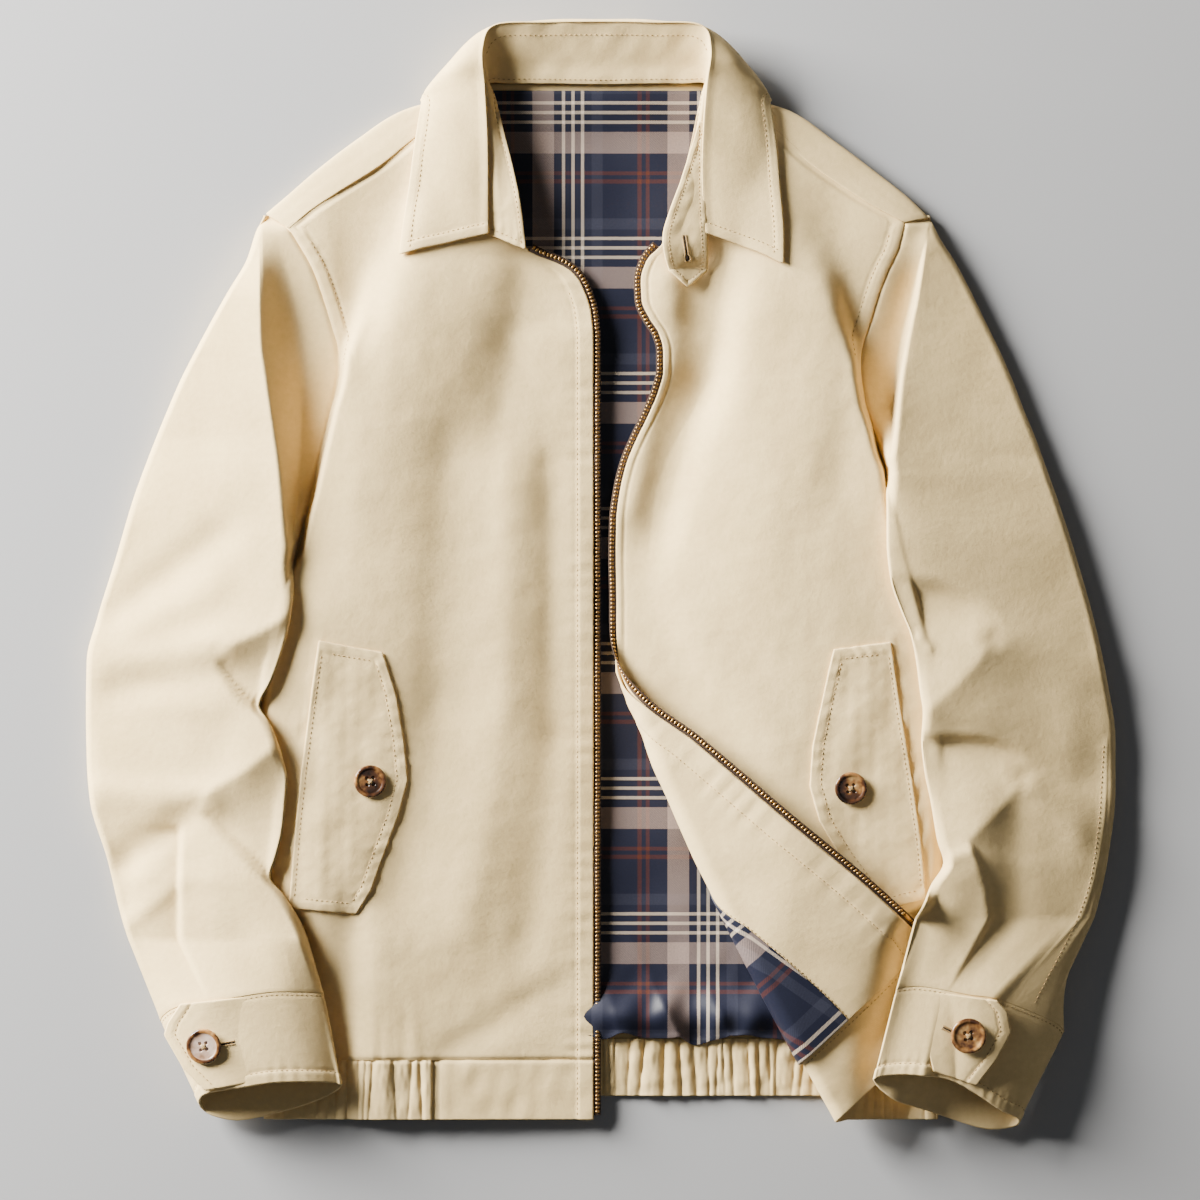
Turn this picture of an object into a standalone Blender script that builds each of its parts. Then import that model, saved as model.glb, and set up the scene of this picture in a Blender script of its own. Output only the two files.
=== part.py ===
"""Harrington jacket laid open on a flat surface, built in millimetres and placed in metres.

X runs to the viewer's right, Y towards the collar and Z up from the surface. "Right" and
"left" are the wearer's, so the right front lies at negative X. Each cloth piece is one grid
of points: its plan comes from seam lines in the tables below, its height from the layer
functions, and `wall` gives it its thickness. Every seam line is read by both its pieces.
"""

import math

import bpy
import numpy as np

MM = 0.001
SHELL = 1.2          # thickness of the twill
LINING = 1.0         # thickness of the facing and the lining
GAP = 0.3            # air between two layers
SEAM = 0.3           # drawn in at each side of a seam
FLOOR = SHELL / 2    # middle of a shell layer that lies on the surface

# ---------------------------------------------------------------- seam lines (x, y)

# Right front: shoulder seam, armhole seam and side seam, from the neck down to the hem.
SHOULDER_RIGHT = [
    (-72, 320.5), (-97.5, 302), (-123, 284), (-143, 268), (-169, 251.5), (-188.5, 238.5),
    (-202, 227),
]
ARMHOLE_RIGHT = [
    (-202, 227), (-195, 216), (-186.5, 201), (-180, 183.5), (-174, 164), (-169.5, 147.5), (-168.5,
     136),
    (-170.5, 123), (-175.5, 105.5), (-182, 79.5), (-187, 56.5), (-193.5, 34), (-199.5, 11),
]
SIDE_RIGHT = [
    (-199.5, 11), (-210, -21.5), (-218.5, -54), (-224, -112.5), (-225, -177.5), (-223.5, -249),
    (-219.5, -314), (-217, -353),
]
NECK_RIGHT = [(-71, 319), (-67.5, 311.5), (-63, 290.5), (-57, 268), (-51.5, 242), (-47.5, 212.5)]
ZIP_RIGHT = [
    (-47.5, 212.5), (-39, 208), (-26, 203), (-17, 196.5), (-11, 186.5), (-6.5, 172), (-5, 154),
    (-5, -80), (-5, -314), (-5, -353.5),
]

# Left front. Below the collar its zip edge snakes; from the waist down it is the edge before folding.
SHOULDER_LEFT = [
    (68, 320.5), (91, 305.5), (114, 289), (130, 274.5), (149.5, 260), (175.5, 243), (198, 231),
]
ARMHOLE_LEFT = [
    (198, 231), (193.5, 214), (186.5, 199.5), (180.5, 183.5), (175.5, 167), (170.5, 151), (169,
     140),
    (172, 115), (180.5, 89), (186.5, 69.5),
]
SIDE_LEFT = [
    (186.5, 69.5), (195, 24), (209.5, -28), (221, -80), (225.5, -145), (225, -210), (221, -314),
    (219.5, -353),
]
NECK_LEFT = [(67, 319), (66.5, 311.5), (60, 284), (53.5, 258), (47, 238.5), (41, 217)]
ZIP_LEFT = [
    (41, 217), (31, 205), (27.5, 193), (28, 180), (33, 168.5), (39, 159), (42, 147.5), (42, 134.5),
    (39, 121.5), (32.5, 105.5), (24.5, 89), (18, 73), (13.5, 53.5), (11.5, 37), (11, 11), (11.5,
     -15),
    (11.5, -41), (11.5, -67), (10, -93), (6, -112.5), (2.5, -132), (0.5, -174), (2, -205.5), (4,
     -249),
    (8.5, -289), (14.5, -315), (34.5, -356),
]
# Line on which the left front is folded back, at each height of the unfolded front.
FOLD_LEFT = [
    (-11.5, 11), (4.5, -21.5), (15.5, -47.5), (24.5, -70), (33.5, -93), (41, -112.5), (49, -132),
    (67.5, -174), (83, -205.5), (105, -249), (126, -289), (140, -315), (162.5, -356), (171.5, -373),
]
# How far each turned row is swung towards the horizontal, in radians.
SWING_LEFT = [
    (0.0, -132), (0.05, -174), (0.10, -205.5), (0.15, -249), (0.20, -289),
    (0.245, -315), (0.26, -356),
]
GATHER_HIGH = 2.2       # how far a gathered band stands up
HEM_SEAM_Y = -314
HEM_Y = -352.5
HEM_BACK_TOP_Y = -304
HEM_BACK_Y = -337.5

# Back armhole seams, hidden under the fronts, from the underarm up to the shoulder edge.
BACK_ARMHOLE_RIGHT = [
    (-199.5, 11), (-193, 37), (-187, 63), (-183.5, 95.5), (-182, 128), (-184.5, 160.5), (-192, 190),
    (-201.5, 216), (-212.5, 233.5),
]
BACK_ARMHOLE_LEFT = [
    (186.5, 69.5), (180.5, 89), (175.5, 115), (174, 141), (177, 167), (183.5, 193), (193, 216),
    (204, 229.5), (210, 233.5),
]

# Sleeves: the outer edge from the shoulder to the cuff, and the inner edge below the underarm.
SLEEVE_OUT_RIGHT = [
    (-217, 237), (-223, 225.5), (-229.5, 206), (-241, 186.5), (-252, 167), (-262.5,
     147.5), (-272.5, 128), (-281, 108.5),
    (-289, 89), (-296.5, 69.5), (-303.5, 50), (-315, 11), (-327, -28), (-333.5, -54), (-334,
     -86.5), (-333.5, -119),
    (-331.5, -145), (-320, -184), (-310.5, -223), (-299, -255.5), (-287.5, -280),
]
SLEEVE_IN_RIGHT = [
    (-199.5, 11), (-199, -8.5), (-201, -28), (-206, -47.5), (-213, -67), (-221, -84), (-214.5,
     -94), (-209.5, -106),
    (-205.5, -119), (-203, -130.5), (-204, -145), (-206, -164.5), (-210, -180.5), (-214,
     -194.5), (-205, -206.5), (-195, -223),
    (-188.5, -239), (-183.5, -255.5), (-180.5, -268.5),
]
SLEEVE_OUT_LEFT = [
    (214, 234), (221.5, 219), (230, 206), (240.5, 186.5), (250, 167), (259.5, 147.5), (268,
     128), (275.5, 108.5),
    (283.5, 89), (290.5, 69.5), (297.5, 50), (310, 11), (321, -28), (329.5, -67), (335, -106),
    (335, -138.5), (330, -184), (321, -223), (307.5, -262), (299, -281.5),
]
SLEEVE_IN_LEFT = [
    (186.5, 69.5), (186, 50), (186, 24), (188.5, -2), (195, -21.5), (201.5, -37.5), (205,
     -54), (207.5, -73.5),
    (209.5, -88.5), (208.5, -106), (210.5, -125.5), (214.5, -145), (219, -171), (223,
     -185), (214.5, -200), (205, -219.5),
    (198, -232.5), (195, -245.5), (192.5, -265),
]

# ---------------------------------------------------------------- heights of the fronts

# Bulge edge: inside this line a front stands high, outside it lies low, beside the sleeve.
BULGE_RIGHT = [
    (-104, 320.5), (-120, 271), (-131.5, 238.5), (-140.5, 216), (-149.5, 193), (-157.5,
     167), (-164, 147.5), (-168.5, 128),
    (-173, 105.5), (-179, 79.5), (-184, 56.5), (-190, 34), (-193.5, 11), (-193.5, -28), (-203,
     -60.5), (-212, -84),
    (-201.5, -109), (-195, -132), (-197, -164.5), (-201.5, -194.5), (-192, -223), (-177,
     -265), (-166, -301), (-161, -353.5),
]
BULGE_LEFT = [
    (99, 320.5), (120, 271), (134, 238.5), (144.5, 212.5), (152, 193), (159, 167), (166.5,
     140), (171.5, 115),
    (177.5, 89), (182, 69.5), (179.5, 24), (183.5, -15), (193.5, -47.5), (201.5, -88.5), (203,
     -125.5), (209.5, -164.5),
    (213, -185), (204, -203.5), (192, -232.5), (182, -275), (173, -301), (167.5, -353.5),
]
# Height of the low part (low) and of the high part (high), and the width of the step (soft),
# at each y of the front.
FRONT_LEVELS = {
    #        y            low   high  soft
    "neck":       (320.5, 9.0, 10.5, 20.0),
    "collar":     (264.5, 11.0, 15.0, 20.0),
    "shoulder":   (227, 11.5, 17.0, 18.0),
    "chest":      (180, 9.5, 20.0, 13.0),
    "underarm":   (115, 6.5, 22.0, 8.0),
    "rib":        (11, 4.0, 22.0, 8.0),
    "waist":      (-119, 3.6, 20.0, 11.0),
    "pocket":     (-210, 3.6, 19.0, 14.0),
    "low":        (-275, 4.0, 16.0, 14.0),
    "hem_seam":   (-314, 5.0, 12.5, 12.0),
    "hem":        (-353.5, 5.0, 9.5, 12.0),
}
ZIP_DROP = 0.5         # how much of its rise a front loses at its zip edge
ZIP_DROP_WIDTH = 45.0

# Soft folds of the fronts, each along a line: height, and its half width on each side.
FRONT_FOLDS = [
    #  x0     y0     x1     y1    high  left  right
    (-62, 180, -84, 115, -3.5, 20.0, 24.0),
    (-84, 115, -117, 11, -3.5, 22.0, 26.0),
    (-39, 37, -36, -80, -3.0, 16.0, 22.0),
    (-65, 11, -65, -80, 2.5, 16.0, 18.0),
    (-34, -119, -65, -210, -3.0, 18.0, 22.0),
    (-26, -278, -84, -307, -3.0, 12.0, 14.0),
    (-98, -119, -110, -249, 2.5, 24.0, 26.0),
    (58, 167, 29, 50, -4.0, 14.0, 24.0),
    (114, 161, 98, 11, 3.5, 34.0, 34.0),
    (65, 11, 58, -67, -2.0, 20.0, 24.0),
    (159, 63, 153, -28, -2.5, 18.0, 20.0),
]

# ---------------------------------------------------------------- the turned-back corner

ROLL = 7.0             # radius of the shell at the fold
FACING_UNDER = 1.35 + (SHELL + LINING) / 2  # facing's middle below the shell's
FACING_WIDTH = 70.0
FACING_PEEK = [        # how far the facing stands out past the zip edge
    (0.0, 217), (0.0, 180), (4.0, 151), (4.5, 115),
    (0.5, 89), (-1.5, 50), (-1.5, -353.5),
]

# ---------------------------------------------------------------- the sleeves' heights

SLEEVE_CREST = [       # height of the top layer, down the sleeve
    (20.0, 237), (25.0, 180), (28.0, 102), (28.0, -15),
    (27.0, -145), (30.0, -223), (34.0, -281.5),
]
CREASE_RIGHT = [
    (-219.5, 237), (-219, 206), (-218, 154), (-214.5, 128), (-209.5, 95.5), (-205.5, 69.5),
    (-203, 43.5), (-201, 11),
]
CREASE_LEFT = [
    (214.5, 237), (211, 219), (204, 180), (197, 147.5), (193, 121.5), (190, 95.5), (187, 69.5),
]
ROUND = 22.0           # width of a sleeve's rounded edge, seen from above
EDGE_Z = 6.0           # height of its outermost line
UNDER_AIR = 2.0        # air between a sleeve or cuff and the body under it
SLEEVE_FOLDS = [
    #  x0     y0     x1     y1    high  left  right
    (-328, -51, -249, -49, 3.5, 10.0, 16.0),
    (-249, -47, -200, -23, 4.5, 14.0, 6.0),
    (-239, -57, -195, -51, -10.0, 8.0, 14.0),
    (-328, -47, -273, 1, -3.0, 14.0, 16.0),
    (-328, -145, -254, -142, 3.0, 12.0, 14.0),
    (-257, -142, -208, -111, 4.5, 16.0, 6.0),
    (-250, -153, -202, -155, -10.0, 10.0, 20.0),
    (-309, -170, -263, -153, -4.0, 10.0, 12.0),
    (-292, -54, -312, -106, -2.5, 16.0, 16.0),
    (-274, -164, -274, -275, -4.0, 10.0, 4.0),
    (250, -41, 198, -17, 4.0, 12.0, 18.0),
    (242, -49, 198, -59, -9.0, 14.0, 10.0),
    (270, -124, 211, -111, 4.0, 14.0, 18.0),
    (263, -140, 205, -155, -9.0, 20.0, 12.0),
    (266, -142, 302, -164, 3.0, 12.0, 14.0),
    (265, -151, 265, -242, -5.0, 12.0, 14.0),
    (250, -190, 257, -268, 3.0, 8.0, 6.0),
]


# ---------------------------------------------------------------- curves and heights

def level(table, y):
    """Value at height y of a (value, y) table: cubic pieces that never overshoot a row."""
    rows = sorted((row[1], row[0]) for row in table)
    at = np.array([row[0] for row in rows])
    value = np.array([row[1] for row in rows])
    step = np.diff(at)
    rise = np.diff(value) / step
    slope = np.zeros(len(at))
    same = rise[:-1] * rise[1:] > 0
    slope[1:-1][same] = 2.0 / (1.0 / rise[:-1][same] + 1.0 / rise[1:][same])
    slope[0], slope[-1] = rise[0], rise[-1]
    y = np.clip(np.asarray(y, float), at[0], at[-1])
    k = np.clip(np.searchsorted(at, y, side="right") - 1, 0, len(step) - 1)
    t = (y - at[k]) / step[k]
    start = value[k] * (1 + 2 * t) * (1 - t) ** 2 + slope[k] * step[k] * t * (1 - t) ** 2
    end = value[k + 1] * t * t * (3 - 2 * t) - slope[k + 1] * step[k] * t * t * (1 - t)
    return start + end


def along(points, shares):
    """Points at the given shares of a smooth curve through a table of points."""
    points = np.asarray(points, float)
    shares = np.asarray(shares, float)
    at = np.concatenate(([0.0], np.cumsum(np.linalg.norm(np.diff(points, axis=0), axis=1))))
    at /= at[-1]
    slope = np.gradient(points, at, axis=0)
    k = np.clip(np.searchsorted(at, shares, side="right") - 1, 0, len(at) - 2)
    gap = (at[k + 1] - at[k])[:, None]
    t = ((shares - at[k]) / (at[k + 1] - at[k]))[:, None]
    return (
        points[k] * (1 + 2 * t) * (1 - t) ** 2 + slope[k] * gap * t * (1 - t) ** 2
        + points[k + 1] * t * t * (3 - 2 * t) - slope[k + 1] * gap * t * t * (1 - t)
    )


def step_up(t):
    """Smooth rise from 0 to 1 while t goes from 0 to 1."""
    t = np.clip(t, 0.0, 1.0)
    return t * t * (3 - 2 * t)


def over(low, high, blend=1.5):
    """The larger of two heights, with a soft corner of `blend` mm that never cuts below it."""
    return (low + high + np.sqrt((low - high) ** 2 + blend ** 2)) / 2


def folds(table, x, y):
    """Sum of soft folds: a bell across each line, fading past its two ends."""
    total = np.zeros(np.broadcast(x, y).shape)
    for x0, y0, x1, y1, high, left, right in table:
        run_x, run_y = x1 - x0, y1 - y0
        length = math.hypot(run_x, run_y)
        share = ((x - x0) * run_x + (y - y0) * run_y) / length ** 2
        side = ((x - x0) * run_y - (y - y0) * run_x) / length
        width = np.where(side > 0, right, left)
        past = np.maximum(np.maximum(-share, share - 1), 0) * length
        total += high * np.exp(-(side / width) ** 2 - (past / (0.7 * (left + right))) ** 2)
    return total


def side_line(front, y):
    """x of a front's outer border at height y: side seam, armhole seam or shoulder seam."""
    shoulder, armhole, side = front["border"]
    y = np.asarray(y, float)
    x = np.where(y > armhole[0][1], level(shoulder, y), level(armhole, y))
    return np.where(y < side[0][1], level(side, y), x)


def front_edge(front, y):
    """x of a front's inner border at height y: the zip edge, or above it the neckline."""
    y = np.asarray(y, float)
    return np.where(y > front["zip"][0][1], level(front["neck"], y), level(front["zip"], y))


FRONTS = {
    "right": {
        "border": (SHOULDER_RIGHT, ARMHOLE_RIGHT, SIDE_RIGHT),
        "neck": NECK_RIGHT, "zip": ZIP_RIGHT, "bulge": BULGE_RIGHT, "inward": 1.0,
    },
    "left": {
        "border": (SHOULDER_LEFT, ARMHOLE_LEFT, SIDE_LEFT),
        "neck": NECK_LEFT, "zip": ZIP_LEFT, "bulge": BULGE_LEFT, "inward": -1.0,
    },
}


def front_height(name, x, y):
    """Height of the middle of a front's shell at (x, y), before any corner is turned back."""
    front = FRONTS[name]
    rows = list(FRONT_LEVELS.values())
    low, high, soft = (level([(row[i], row[0]) for row in rows], y) for i in (1, 2, 3))
    inside = (x - level(front["bulge"], y)) * front["inward"]
    z = low + (high - low) * (0.5 + 0.5 * np.tanh(inside / soft))
    from_zip = np.maximum((level(front["zip"], y) - x) * front["inward"], 0.0)
    below_neck = step_up((245 - y) / 40.0)
    z = z - (z - low) * ZIP_DROP * below_neck * np.exp(-from_zip / ZIP_DROP_WIDTH)
    lift = np.clip((z - low) / 8.0, 0.0, 1.0)
    return z + folds(FRONT_FOLDS, x, y) * lift


def front_crown(name, x, y, reach=3.5):
    """Largest height of a front's middle within `reach` of (x, y), sideways."""
    heights = [front_height(name, x + shift, y) for shift in (-reach, 0.0, reach)]
    return np.maximum.reduce(heights)


def turn_back(x, y, inner):
    """Place points of the unfolded left front, folded back past FOLD_LEFT.

    `inner` is how far the layer lies below the shell's middle before the fold. A point short
    of the fold line stays in place. Past it, its distance from the line first runs round a
    roll of radius ROLL + inner and then back over the front, above it.
    """
    line = level(FOLD_LEFT, y)
    lean = (level(FOLD_LEFT, y + 2.0) - level(FOLD_LEFT, y - 2.0)) / 4.0
    size = np.sqrt(1.0 + lean ** 2)
    tangent_x, tangent_y = lean / size, 1.0 / size
    normal_x, normal_y = 1.0 / size, -lean / size
    past = np.maximum(line - x, 0.0)
    turn = np.arctan(lean) + level(SWING_LEFT, y)
    across = past * np.cos(turn)
    slip = -past * np.sin(turn)
    angle = np.clip(across / ROLL, 0.0, math.pi)
    back = np.maximum(across - math.pi * ROLL, 0.0)
    out = back - (ROLL + inner) * np.sin(angle)
    new_x = np.where(past > 0, line + out * normal_x + slip * tangent_x, x)
    new_y = np.where(past > 0, y + out * normal_y + slip * tangent_y, y)
    z = front_height("left", new_x, new_y) + ROLL - (ROLL + inner) * np.cos(angle)
    return np.stack(np.broadcast_arrays(new_x, new_y, z), axis=-1)


def turned_share(x, y):
    """1 where the turned-back corner lies, 0 away from it, with a soft border outside it."""
    tip, start = (218.5, -238.5), (26, -73.5)
    hem, corner = (153.5, -356), (234, -281)
    run = math.hypot(tip[0] - start[0], tip[1] - start[1])
    below = ((tip[0] - start[0]) * (start[1] - y) - (start[1] - tip[1]) * (x - start[0])) / run
    end = math.hypot(corner[0] - hem[0], corner[1] - hem[1])
    above = ((y - hem[1]) * (corner[0] - hem[0]) - (x - hem[0]) * (corner[1] - hem[1])) / end
    return step_up((below + 30.0) / 18.0) * step_up((above + 30.0) / 18.0)


def pile(name, x, y):
    """Height above which a sleeve or cuff may lie: the surface, or the body's top there."""
    front = FRONTS[name]
    outside = (side_line(front, y) - x) * front["inward"]
    z = front_crown(name, x, y) + SHELL / 2
    if name == "left":
        z = z + (2 * ROLL + FACING_UNDER + LINING / 2 + 1.0) * turned_share(x, y)
    z = z + GATHER_HIGH * (y < HEM_SEAM_Y + 4.0)
    return z * step_up((64.0 - outside) / 34.0)


# ---------------------------------------------------------------- meshes

FINISHES = {            # base colour, roughness, metallic
    "twill": ((0.80, 0.69, 0.47), 0.85, 0.0),
    "plaid": ((0.03, 0.03, 0.07), 0.85, 0.0),
    "brass": ((0.55, 0.36, 0.12), 0.35, 1.0),
    "tape": ((0.10, 0.07, 0.05), 0.85, 0.0),
    "horn": ((0.14, 0.07, 0.03), 0.30, 0.0),
}


def look(name, finish):
    """A Principled material of its own for the piece of this name."""
    colour, rough, metal = FINISHES[finish]
    material = bpy.data.materials.new(name)
    material.use_nodes = True
    shader = material.node_tree.nodes["Principled BSDF"]
    shader.inputs["Base Color"].default_value = (*colour, 1.0)
    shader.inputs["Roughness"].default_value = rough
    shader.inputs["Metallic"].default_value = metal
    return material


def place(name, points, faces, finish):
    """Make the object of a closed mesh given in millimetres, its faces turned outwards."""
    points = np.asarray(points, float)
    faces = [tuple(face) for face in faces]
    volume = 0.0
    for face in faces:
        a = points[face[0]]
        for b, c in zip(face[1:-1], face[2:]):
            volume += np.dot(a, np.cross(points[b], points[c]))
    if volume < 0:
        faces = [face[::-1] for face in faces]
    mesh = bpy.data.meshes.new(name)
    mesh.from_pydata((points * MM).tolist(), [], faces)
    mesh.materials.append(look(name, finish))
    solid = bpy.data.objects.new(name, mesh)
    bpy.context.collection.objects.link(solid)
    return solid


def vertex_normals(points, faces):
    """Area-weighted unit normals of a quad mesh."""
    corners = points[faces]
    face_normals = np.cross(corners[:, 2] - corners[:, 0], corners[:, 3] - corners[:, 1])
    normals = np.zeros_like(points)
    for corner in range(4):
        np.add.at(normals, faces[:, corner], face_normals)
    return normals / np.linalg.norm(normals, axis=1)[:, None]


def wall(name, grid, thickness, finish="twill", ring_from=None, ring=False, lift=None):
    """Close a grid of middle points (rows, columns, 3) into a cloth wall.

    With `ring` every row closes on itself; with `ring_from` only the rows from that one on do,
    as a sleeve does below its underarm. `lift` keeps the underside at or above that height.
    """
    rows, columns = grid.shape[:2]
    index = np.arange(rows * columns).reshape(rows, columns)
    a, b, c, d = index[:-1, :-1], index[:-1, 1:], index[1:, 1:], index[1:, :-1]
    faces = np.stack([a, b, c, d], axis=-1).reshape(-1, 4)
    first = 0 if ring else ring_from
    if first is not None:
        low, high = index[first:-1], index[first + 1:]
        closing = np.stack([low[:, -1], low[:, 0], high[:, 0], high[:, -1]], axis=-1)
        faces = np.concatenate([faces, closing])
    points = grid.reshape(-1, 3)
    normals = vertex_normals(points, faces)
    top = points + normals * thickness / 2
    bottom = points - normals * thickness / 2
    if lift is not None:
        top[:, 2] = np.maximum(top[:, 2], lift)
        bottom[:, 2] = np.maximum(bottom[:, 2], lift)
    count = len(points)
    sides = np.stack([faces, np.roll(faces, -1, axis=1)], axis=-1).reshape(-1, 2)
    known = {tuple(side) for side in sides}
    rim = np.array([side for side in sides if (side[1], side[0]) not in known])
    rim = np.concatenate([rim[:, ::-1], rim + count], axis=1)
    quads = np.concatenate([faces, faces[:, [2, 1, 0, 3]] + count, rim])
    triangles = np.concatenate([quads[:, [0, 1, 3]], quads[:, [1, 2, 3]]])
    return place(name, np.concatenate([top, bottom]), triangles, finish)


def draw_in(grid, left=0.0, right=0.0, bottom=0.0, top=0.0):
    """Move a grid's border lines inwards, so that a seam keeps its gap."""
    grid = grid.copy()
    for amount, edge, inner in ((left, grid[:, 0], grid[:, 1]), (right, grid[:, -1], grid[:, -2]),
                                (bottom, grid[0], grid[1]), (top, grid[-1], grid[-2])):
        run = inner - edge
        edge += run / np.linalg.norm(run, axis=-1, keepdims=True) * amount
    return grid


# ---------------------------------------------------------------- body

FRONT_ROWS = [
    -314, -297.5, -281.5, -265, -249, -232.5, -216.5, -200, -185, -154.5, -127,
    -102.5, -80, -59, -37.5, -15, 11, 37,
    63, 89, 115, 138, 157.5, 177, 191,
    201, 208, 216, 227, 248.5, 274.5, 297,
    314,
]


NECK_SEAM = 0.9         # a front's neckline stays this far from the stand's seam


def neck_rows(y):
    """Which rows of a front end at the neckline."""
    return y[:, 0] > ZIP_RIGHT[0][1] - 1.0


def front_right():
    """Right front panel: rows across from the outer border to the zip edge."""
    front = FRONTS["right"]
    y = np.array(FRONT_ROWS)[:, None]
    start, end = side_line(front, y), front_edge(front, y)
    share = np.linspace(0.0, 1.0, 11) ** 0.85
    x = start + (end - start) * share
    y = np.broadcast_to(y, x.shape)
    grid = np.stack([x, y, front_height("right", x, y)], axis=-1)
    grid[neck_rows(y), -1, 0] -= NECK_SEAM
    wall("front_right", draw_in(grid, left=0.7, bottom=SEAM, top=SEAM), SHELL)


# Columns of the left front before its roll, round it and after it.
BEFORE_ROLL, ROUND_ROLL, AFTER_ROLL = 6, 8, 7


def band_columns(y, start, end, counts):
    """Unfolded x of rows that follow the fold: even steps from `start` to the roll, close steps
    round the roll, and even steps on to `end`. The close steps always stay before `end`."""
    before, around, after = counts
    line = level(FOLD_LEFT, y)
    lean = (level(FOLD_LEFT, y + 2.0) - level(FOLD_LEFT, y - 2.0)) / 4.0
    width = math.pi * (ROLL + 1.0) * np.sqrt(1.0 + lean ** 2)
    low = over(line - width, start + before * 1.1, 4.0)
    low = np.minimum(low, end - width - after * 1.1)
    high = low + width
    parts = [start + (low - start) * np.linspace(0, 1, before + 1)[:-1],
             low + (high - low) * np.linspace(0, 1, around + 1)[:-1],
             high + (end - high) * np.linspace(0, 1, after + 1)]
    x = np.concatenate(parts, axis=1)
    return x, np.broadcast_to(y, x.shape)


def front_left():
    """Left front panel with its lower corner turned back."""
    front = FRONTS["left"]
    y = np.array(FRONT_ROWS)[:, None]
    edge = front_edge(front, y)
    x, y = band_columns(y, edge, side_line(front, y),
                        (BEFORE_ROLL, ROUND_ROLL, AFTER_ROLL))
    grid = turn_back(x, y, 0.0)
    grid[neck_rows(y), 0, 0] += NECK_SEAM
    wall("front_left", draw_in(grid, right=0.7, bottom=SEAM, top=SEAM), SHELL)


def facing_left():
    """Facing behind the left zip edge; on the turned corner it is what shows."""
    rows = [y for y in FRONT_ROWS if y < 205]
    y = np.array(rows)[:, None]
    edge = level(ZIP_LEFT, y)
    end = edge + FACING_WIDTH
    x, y = band_columns(y, edge, end, (BEFORE_ROLL, ROUND_ROLL, 2))
    x[:, :1] = np.minimum(edge - level(FACING_PEEK, y[:, :1]), x[:, 1:2] - 0.6)
    grid = turn_back(x, y, FACING_UNDER)
    wall("facing_left", draw_in(grid, right=SEAM, bottom=SEAM), LINING)


def lining_left():
    """Lining beside the facing, where the turned corner shows it."""
    y = np.array([y for y in FRONT_ROWS if y < -203])[:, None]
    start = level(ZIP_LEFT, y) + FACING_WIDTH
    x = start + (level(FOLD_LEFT, y) + 9.0 - start) * np.linspace(0.0, 1.0, 12)
    y = np.broadcast_to(y, x.shape)
    grid = turn_back(x, y, FACING_UNDER + 0.9)
    wall("lining_left", draw_in(grid, left=0.6, bottom=SEAM), LINING, "plaid")


def gathers(x, x0, x1, pitch, high):
    """Waves of a gathered band between x0 and x1, with the fullness fading at both ends."""
    fade = step_up((x - x0) / pitch) * step_up((x1 - x) / pitch)
    return high * (0.5 - 0.5 * np.cos(2 * math.pi * (x - x0) / pitch)) * fade


GATHER_PITCH = 9.1      # one gather of the hem band
POINTS_PER_GATHER = 3


def hem_band_right():
    """Right hem band: gathered from the side seam to the plain front part."""
    x0, x1, plain = -218.5, -108.5, -5
    waves = np.arange(x0, x1, GATHER_PITCH / POINTS_PER_GATHER)
    x = np.concatenate([waves, np.linspace(x1, plain, 9)])[None, :]
    y = np.linspace(HEM_SEAM_Y, HEM_Y, 3)[:, None]
    x, y = np.broadcast_arrays(x, y)
    z = front_height("right", x, y) + gathers(x, x0, x1, GATHER_PITCH, GATHER_HIGH) - 1.0
    grid = np.stack([x, y, z], axis=-1)
    wall("hem_band_right", draw_in(grid, bottom=SEAM), SHELL)


def hem_band_left():
    """Left hem band: its gathered part lies flat, its plain front part is turned back."""
    y = np.linspace(HEM_SEAM_Y, HEM_Y, 3)[:, None]
    start = level(FOLD_LEFT, y) + 4.0
    border = side_line(FRONTS["left"], y)
    plain, _ = band_columns(y, level(ZIP_LEFT, y), start, (7, 8, 1))
    count = int((border[0, 0] - start[0, 0]) / GATHER_PITCH) * POINTS_PER_GATHER
    waves = start + (border - start) * np.linspace(0.0, 1.0, count + 1)[None, 1:]
    x = np.concatenate([plain, waves], axis=1)
    y = np.broadcast_to(y, x.shape)
    grid = turn_back(x, y, 0.0)
    grid[..., 2] += gathers(x, start, border, GATHER_PITCH, 1.6)
    wall("hem_band_left", draw_in(grid, bottom=SEAM), SHELL)


def hem_band_back():
    """Gathered hem band of the back, lying on the surface."""
    x0, x1 = -219.5, 220.5
    x = np.linspace(x0, x1, int((x1 - x0) / GATHER_PITCH) * POINTS_PER_GATHER + 1)[None, :]
    y = np.linspace(HEM_BACK_TOP_Y, HEM_BACK_Y, 2)[:, None]
    x, y = np.broadcast_arrays(x, y)
    z = FLOOR + gathers(x, x0, x1, GATHER_PITCH, 1.3)
    wall("hem_band_back", draw_in(np.stack([x, y, z], axis=-1), bottom=SEAM), SHELL, lift=0.0)


# The back's last lines, across the shoulders and the neck: on the surface and at the rounded
# shoulder edge, from the shoulder point to the neck point. The last one is the seam itself.
BACK_FLOOR_RIGHT = [
    (-212.5, 233.5), (-201.5, 240), (-179, 258), (-153.5, 276), (-125, 290.5), (-94, 289),
    (-72, 286),
]
BACK_FLOOR_LEFT = [
    (210, 233.5), (198, 240.5), (174, 258), (148, 276), (119.5, 292), (91, 289), (68, 286),
]
BACK_EDGE_RIGHT = [
    (-216.5, 236.5), (-206.5, 245), (-184.5, 264), (-159, 283.5), (-128.5, 303), (-97.5, 309.5),
    (-72, 307),
]
BACK_EDGE_LEFT = [
    (213, 234), (202, 245), (178, 264), (152, 283.5), (123, 303), (93.5, 309.5), (68, 307),
]
BACK_EDGE_Z = [6.0, 6.0, 6.0, 6.0, 6.0, 5.2, 4.0]
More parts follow.
